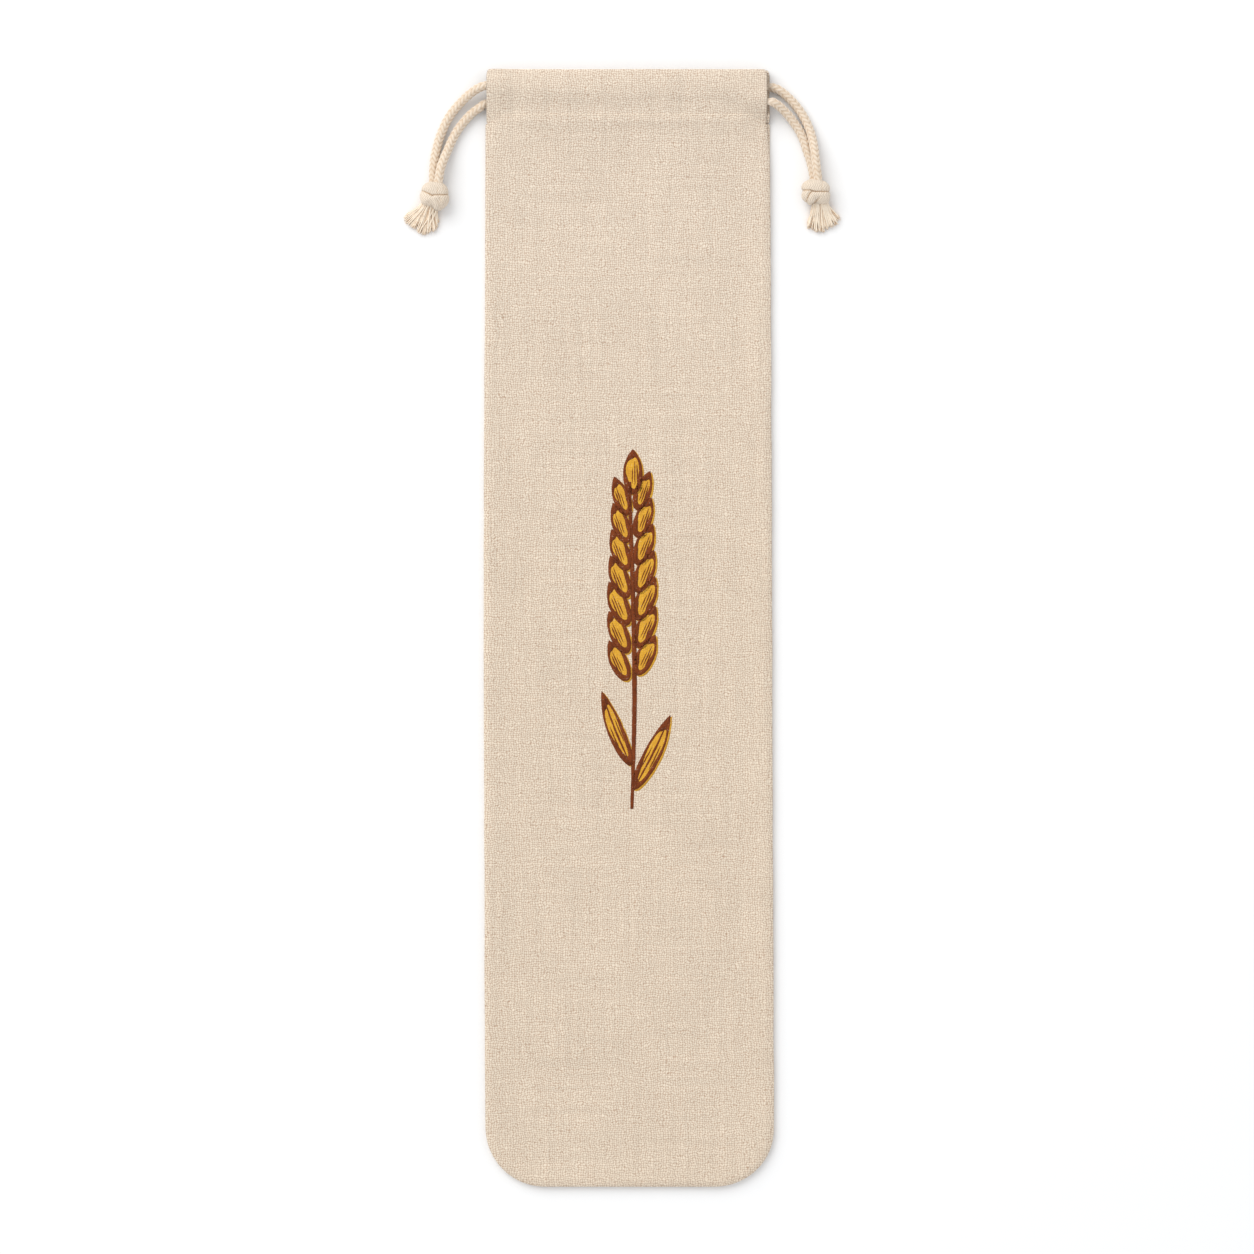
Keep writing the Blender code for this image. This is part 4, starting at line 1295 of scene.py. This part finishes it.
def addStroke(mesh, path, width, taper=0.5):  # a brush line along the path
    half = width / 2
    rows = bmesh.ops.create_grid(mesh, x_segments=1, y_segments=len(path) - 1, size=1)["verts"]
    rows = sorted(rows, key=lambda vert: (round(vert.co.y, 5), vert.co.x))
    for index, place in enumerate(path):
        ahead = path[min(index + 1, len(path) - 1)] - path[max(index - 1, 0)]
        side = Vector((ahead.y, -ahead.x)).normalized()
        share = index / (len(path) - 1)
        reach = half * (1 - taper * abs(2 * share - 1) ** 2.5)
        for vert, sign in ((rows[2 * index], -1), (rows[2 * index + 1], 1)):
            vert.co.xy = place + side * (sign * reach)


def placer(spot, degrees, toPlace, shift=(0, 0)):
    turn = Matrix.Rotation(math.radians(degrees), 2)

    def place(x, y):
        local = turn @ Vector(toPlace(x, y))
        return local + Vector(spot) + Vector(shift)
    return place


def addInnerLine(brown, place, across, low, high, width, steps):
    spots = [place(across, 2 * mixValues(low, high, step / steps) - 1) for step in range(steps + 1)]
    addStroke(brown, spots, width, 0.8)


def addGrain(gold, brown, spot, degrees, length, width):
    def shape(x, y):
        return grainPlace(x, y, length, width)
    place = placer(spot, degrees, shape)
    addFilled(gold, placer(spot, degrees, shape, printing["goldShift"]))
    addLoop(brown, place, 2 * printing["line"] / width)
    side = -1 if degrees > 0 else 1
    for across, low, high, thick in printing["grainLines"]:
        addInnerLine(brown, place, side * across, low, high, thick, printing["grainLineSteps"])


def addLeaf(gold, brown, spot, degrees, length, width, bend):
    def shape(x, y):
        return grainPlace(x, y, length, width, bend)
    place = placer(spot, degrees, shape)
    addFilled(gold, placer(spot, degrees, shape, printing["goldShift"]), 64)
    addLoop(brown, place, 1.7 * printing["line"] / width, 80)
    for across, low, high, thick in printing["leafLines"]:
        addInnerLine(brown, place, across, low, high, thick, printing["leafLineSteps"])


def drawWheat(gold, brown):
    step, first = printing["grainStep"], printing["firstGrain"]
    length, width, tilt = (printing[key] for key in ("grainLength", "grainWidth", "grainTilt"))
    stem = []
    top = first + printing["grainRows"] * step + 0.004
    for number in range(printing["stemSteps"] + 1):
        y = mixValues(printing["stemFoot"], top, number / printing["stemSteps"])
        stem.append(Vector((0.0016 * math.sin((y + 0.11) * 21), y)))
    addStroke(brown, stem, printing["stemWidth"], 0.35)
    for row in range(printing["grainRows"]):
        y = first + row * step
        size = 1 - 0.035 * abs(row - 2)
        for side in (-1, 1):
            spot = (side * 0.0028, y + (0.0035 if side > 0 else 0))
            addGrain(gold, brown, spot, -side * (tilt - row), length * size, width * size)
    addGrain(gold, brown, (0.0005, first + printing["grainRows"] * step - 0.004), 0, length * 0.95, width)
    for leaf in printing["leaves"]:
        addLeaf(gold, brown, *leaf)


def finishInk(name, mesh, lift, finish, surface):
    middle = Vector((*printing["middle"], 0))
    uvs = mesh.loops.layers.uv.new("flatCut")
    for vert in mesh.verts:
        x, y = ragged(vert.co.x, vert.co.y)
        x, y = x + middle.x, y + middle.y
        vert.co = (x, y, drop(surface, x, y) + lift)
    bmesh.ops.recalc_face_normals(mesh, faces=mesh.faces[:])
    for face in mesh.faces:
        if face.normal.z < 0:
            face.normal_flip()
        for loop in face.loops:
            loop[uvs].uv = loop.vert.co.xy
    piece = addPiece(name, mesh, finish)
    film = piece.modifiers.new("ink film", "SOLIDIFY")
    film.thickness = printing["inkDepth"]
    film.offset = -1


goldMesh, brownMesh = bmesh.new(), bmesh.new()
drawWheat(goldMesh, brownMesh)
goldInk = makeInk("golden ink", printing["gold"], printing["goldDark"])
brownInk = makeInk("brown ink", printing["brown"], printing["brownDark"])
finishInk("goldenPrint", goldMesh, printing["goldLift"], goldInk, frontSurface)
finishInk("brownPrint", brownMesh, printing["brownLift"], brownInk, frontSurface)
print("print ready")
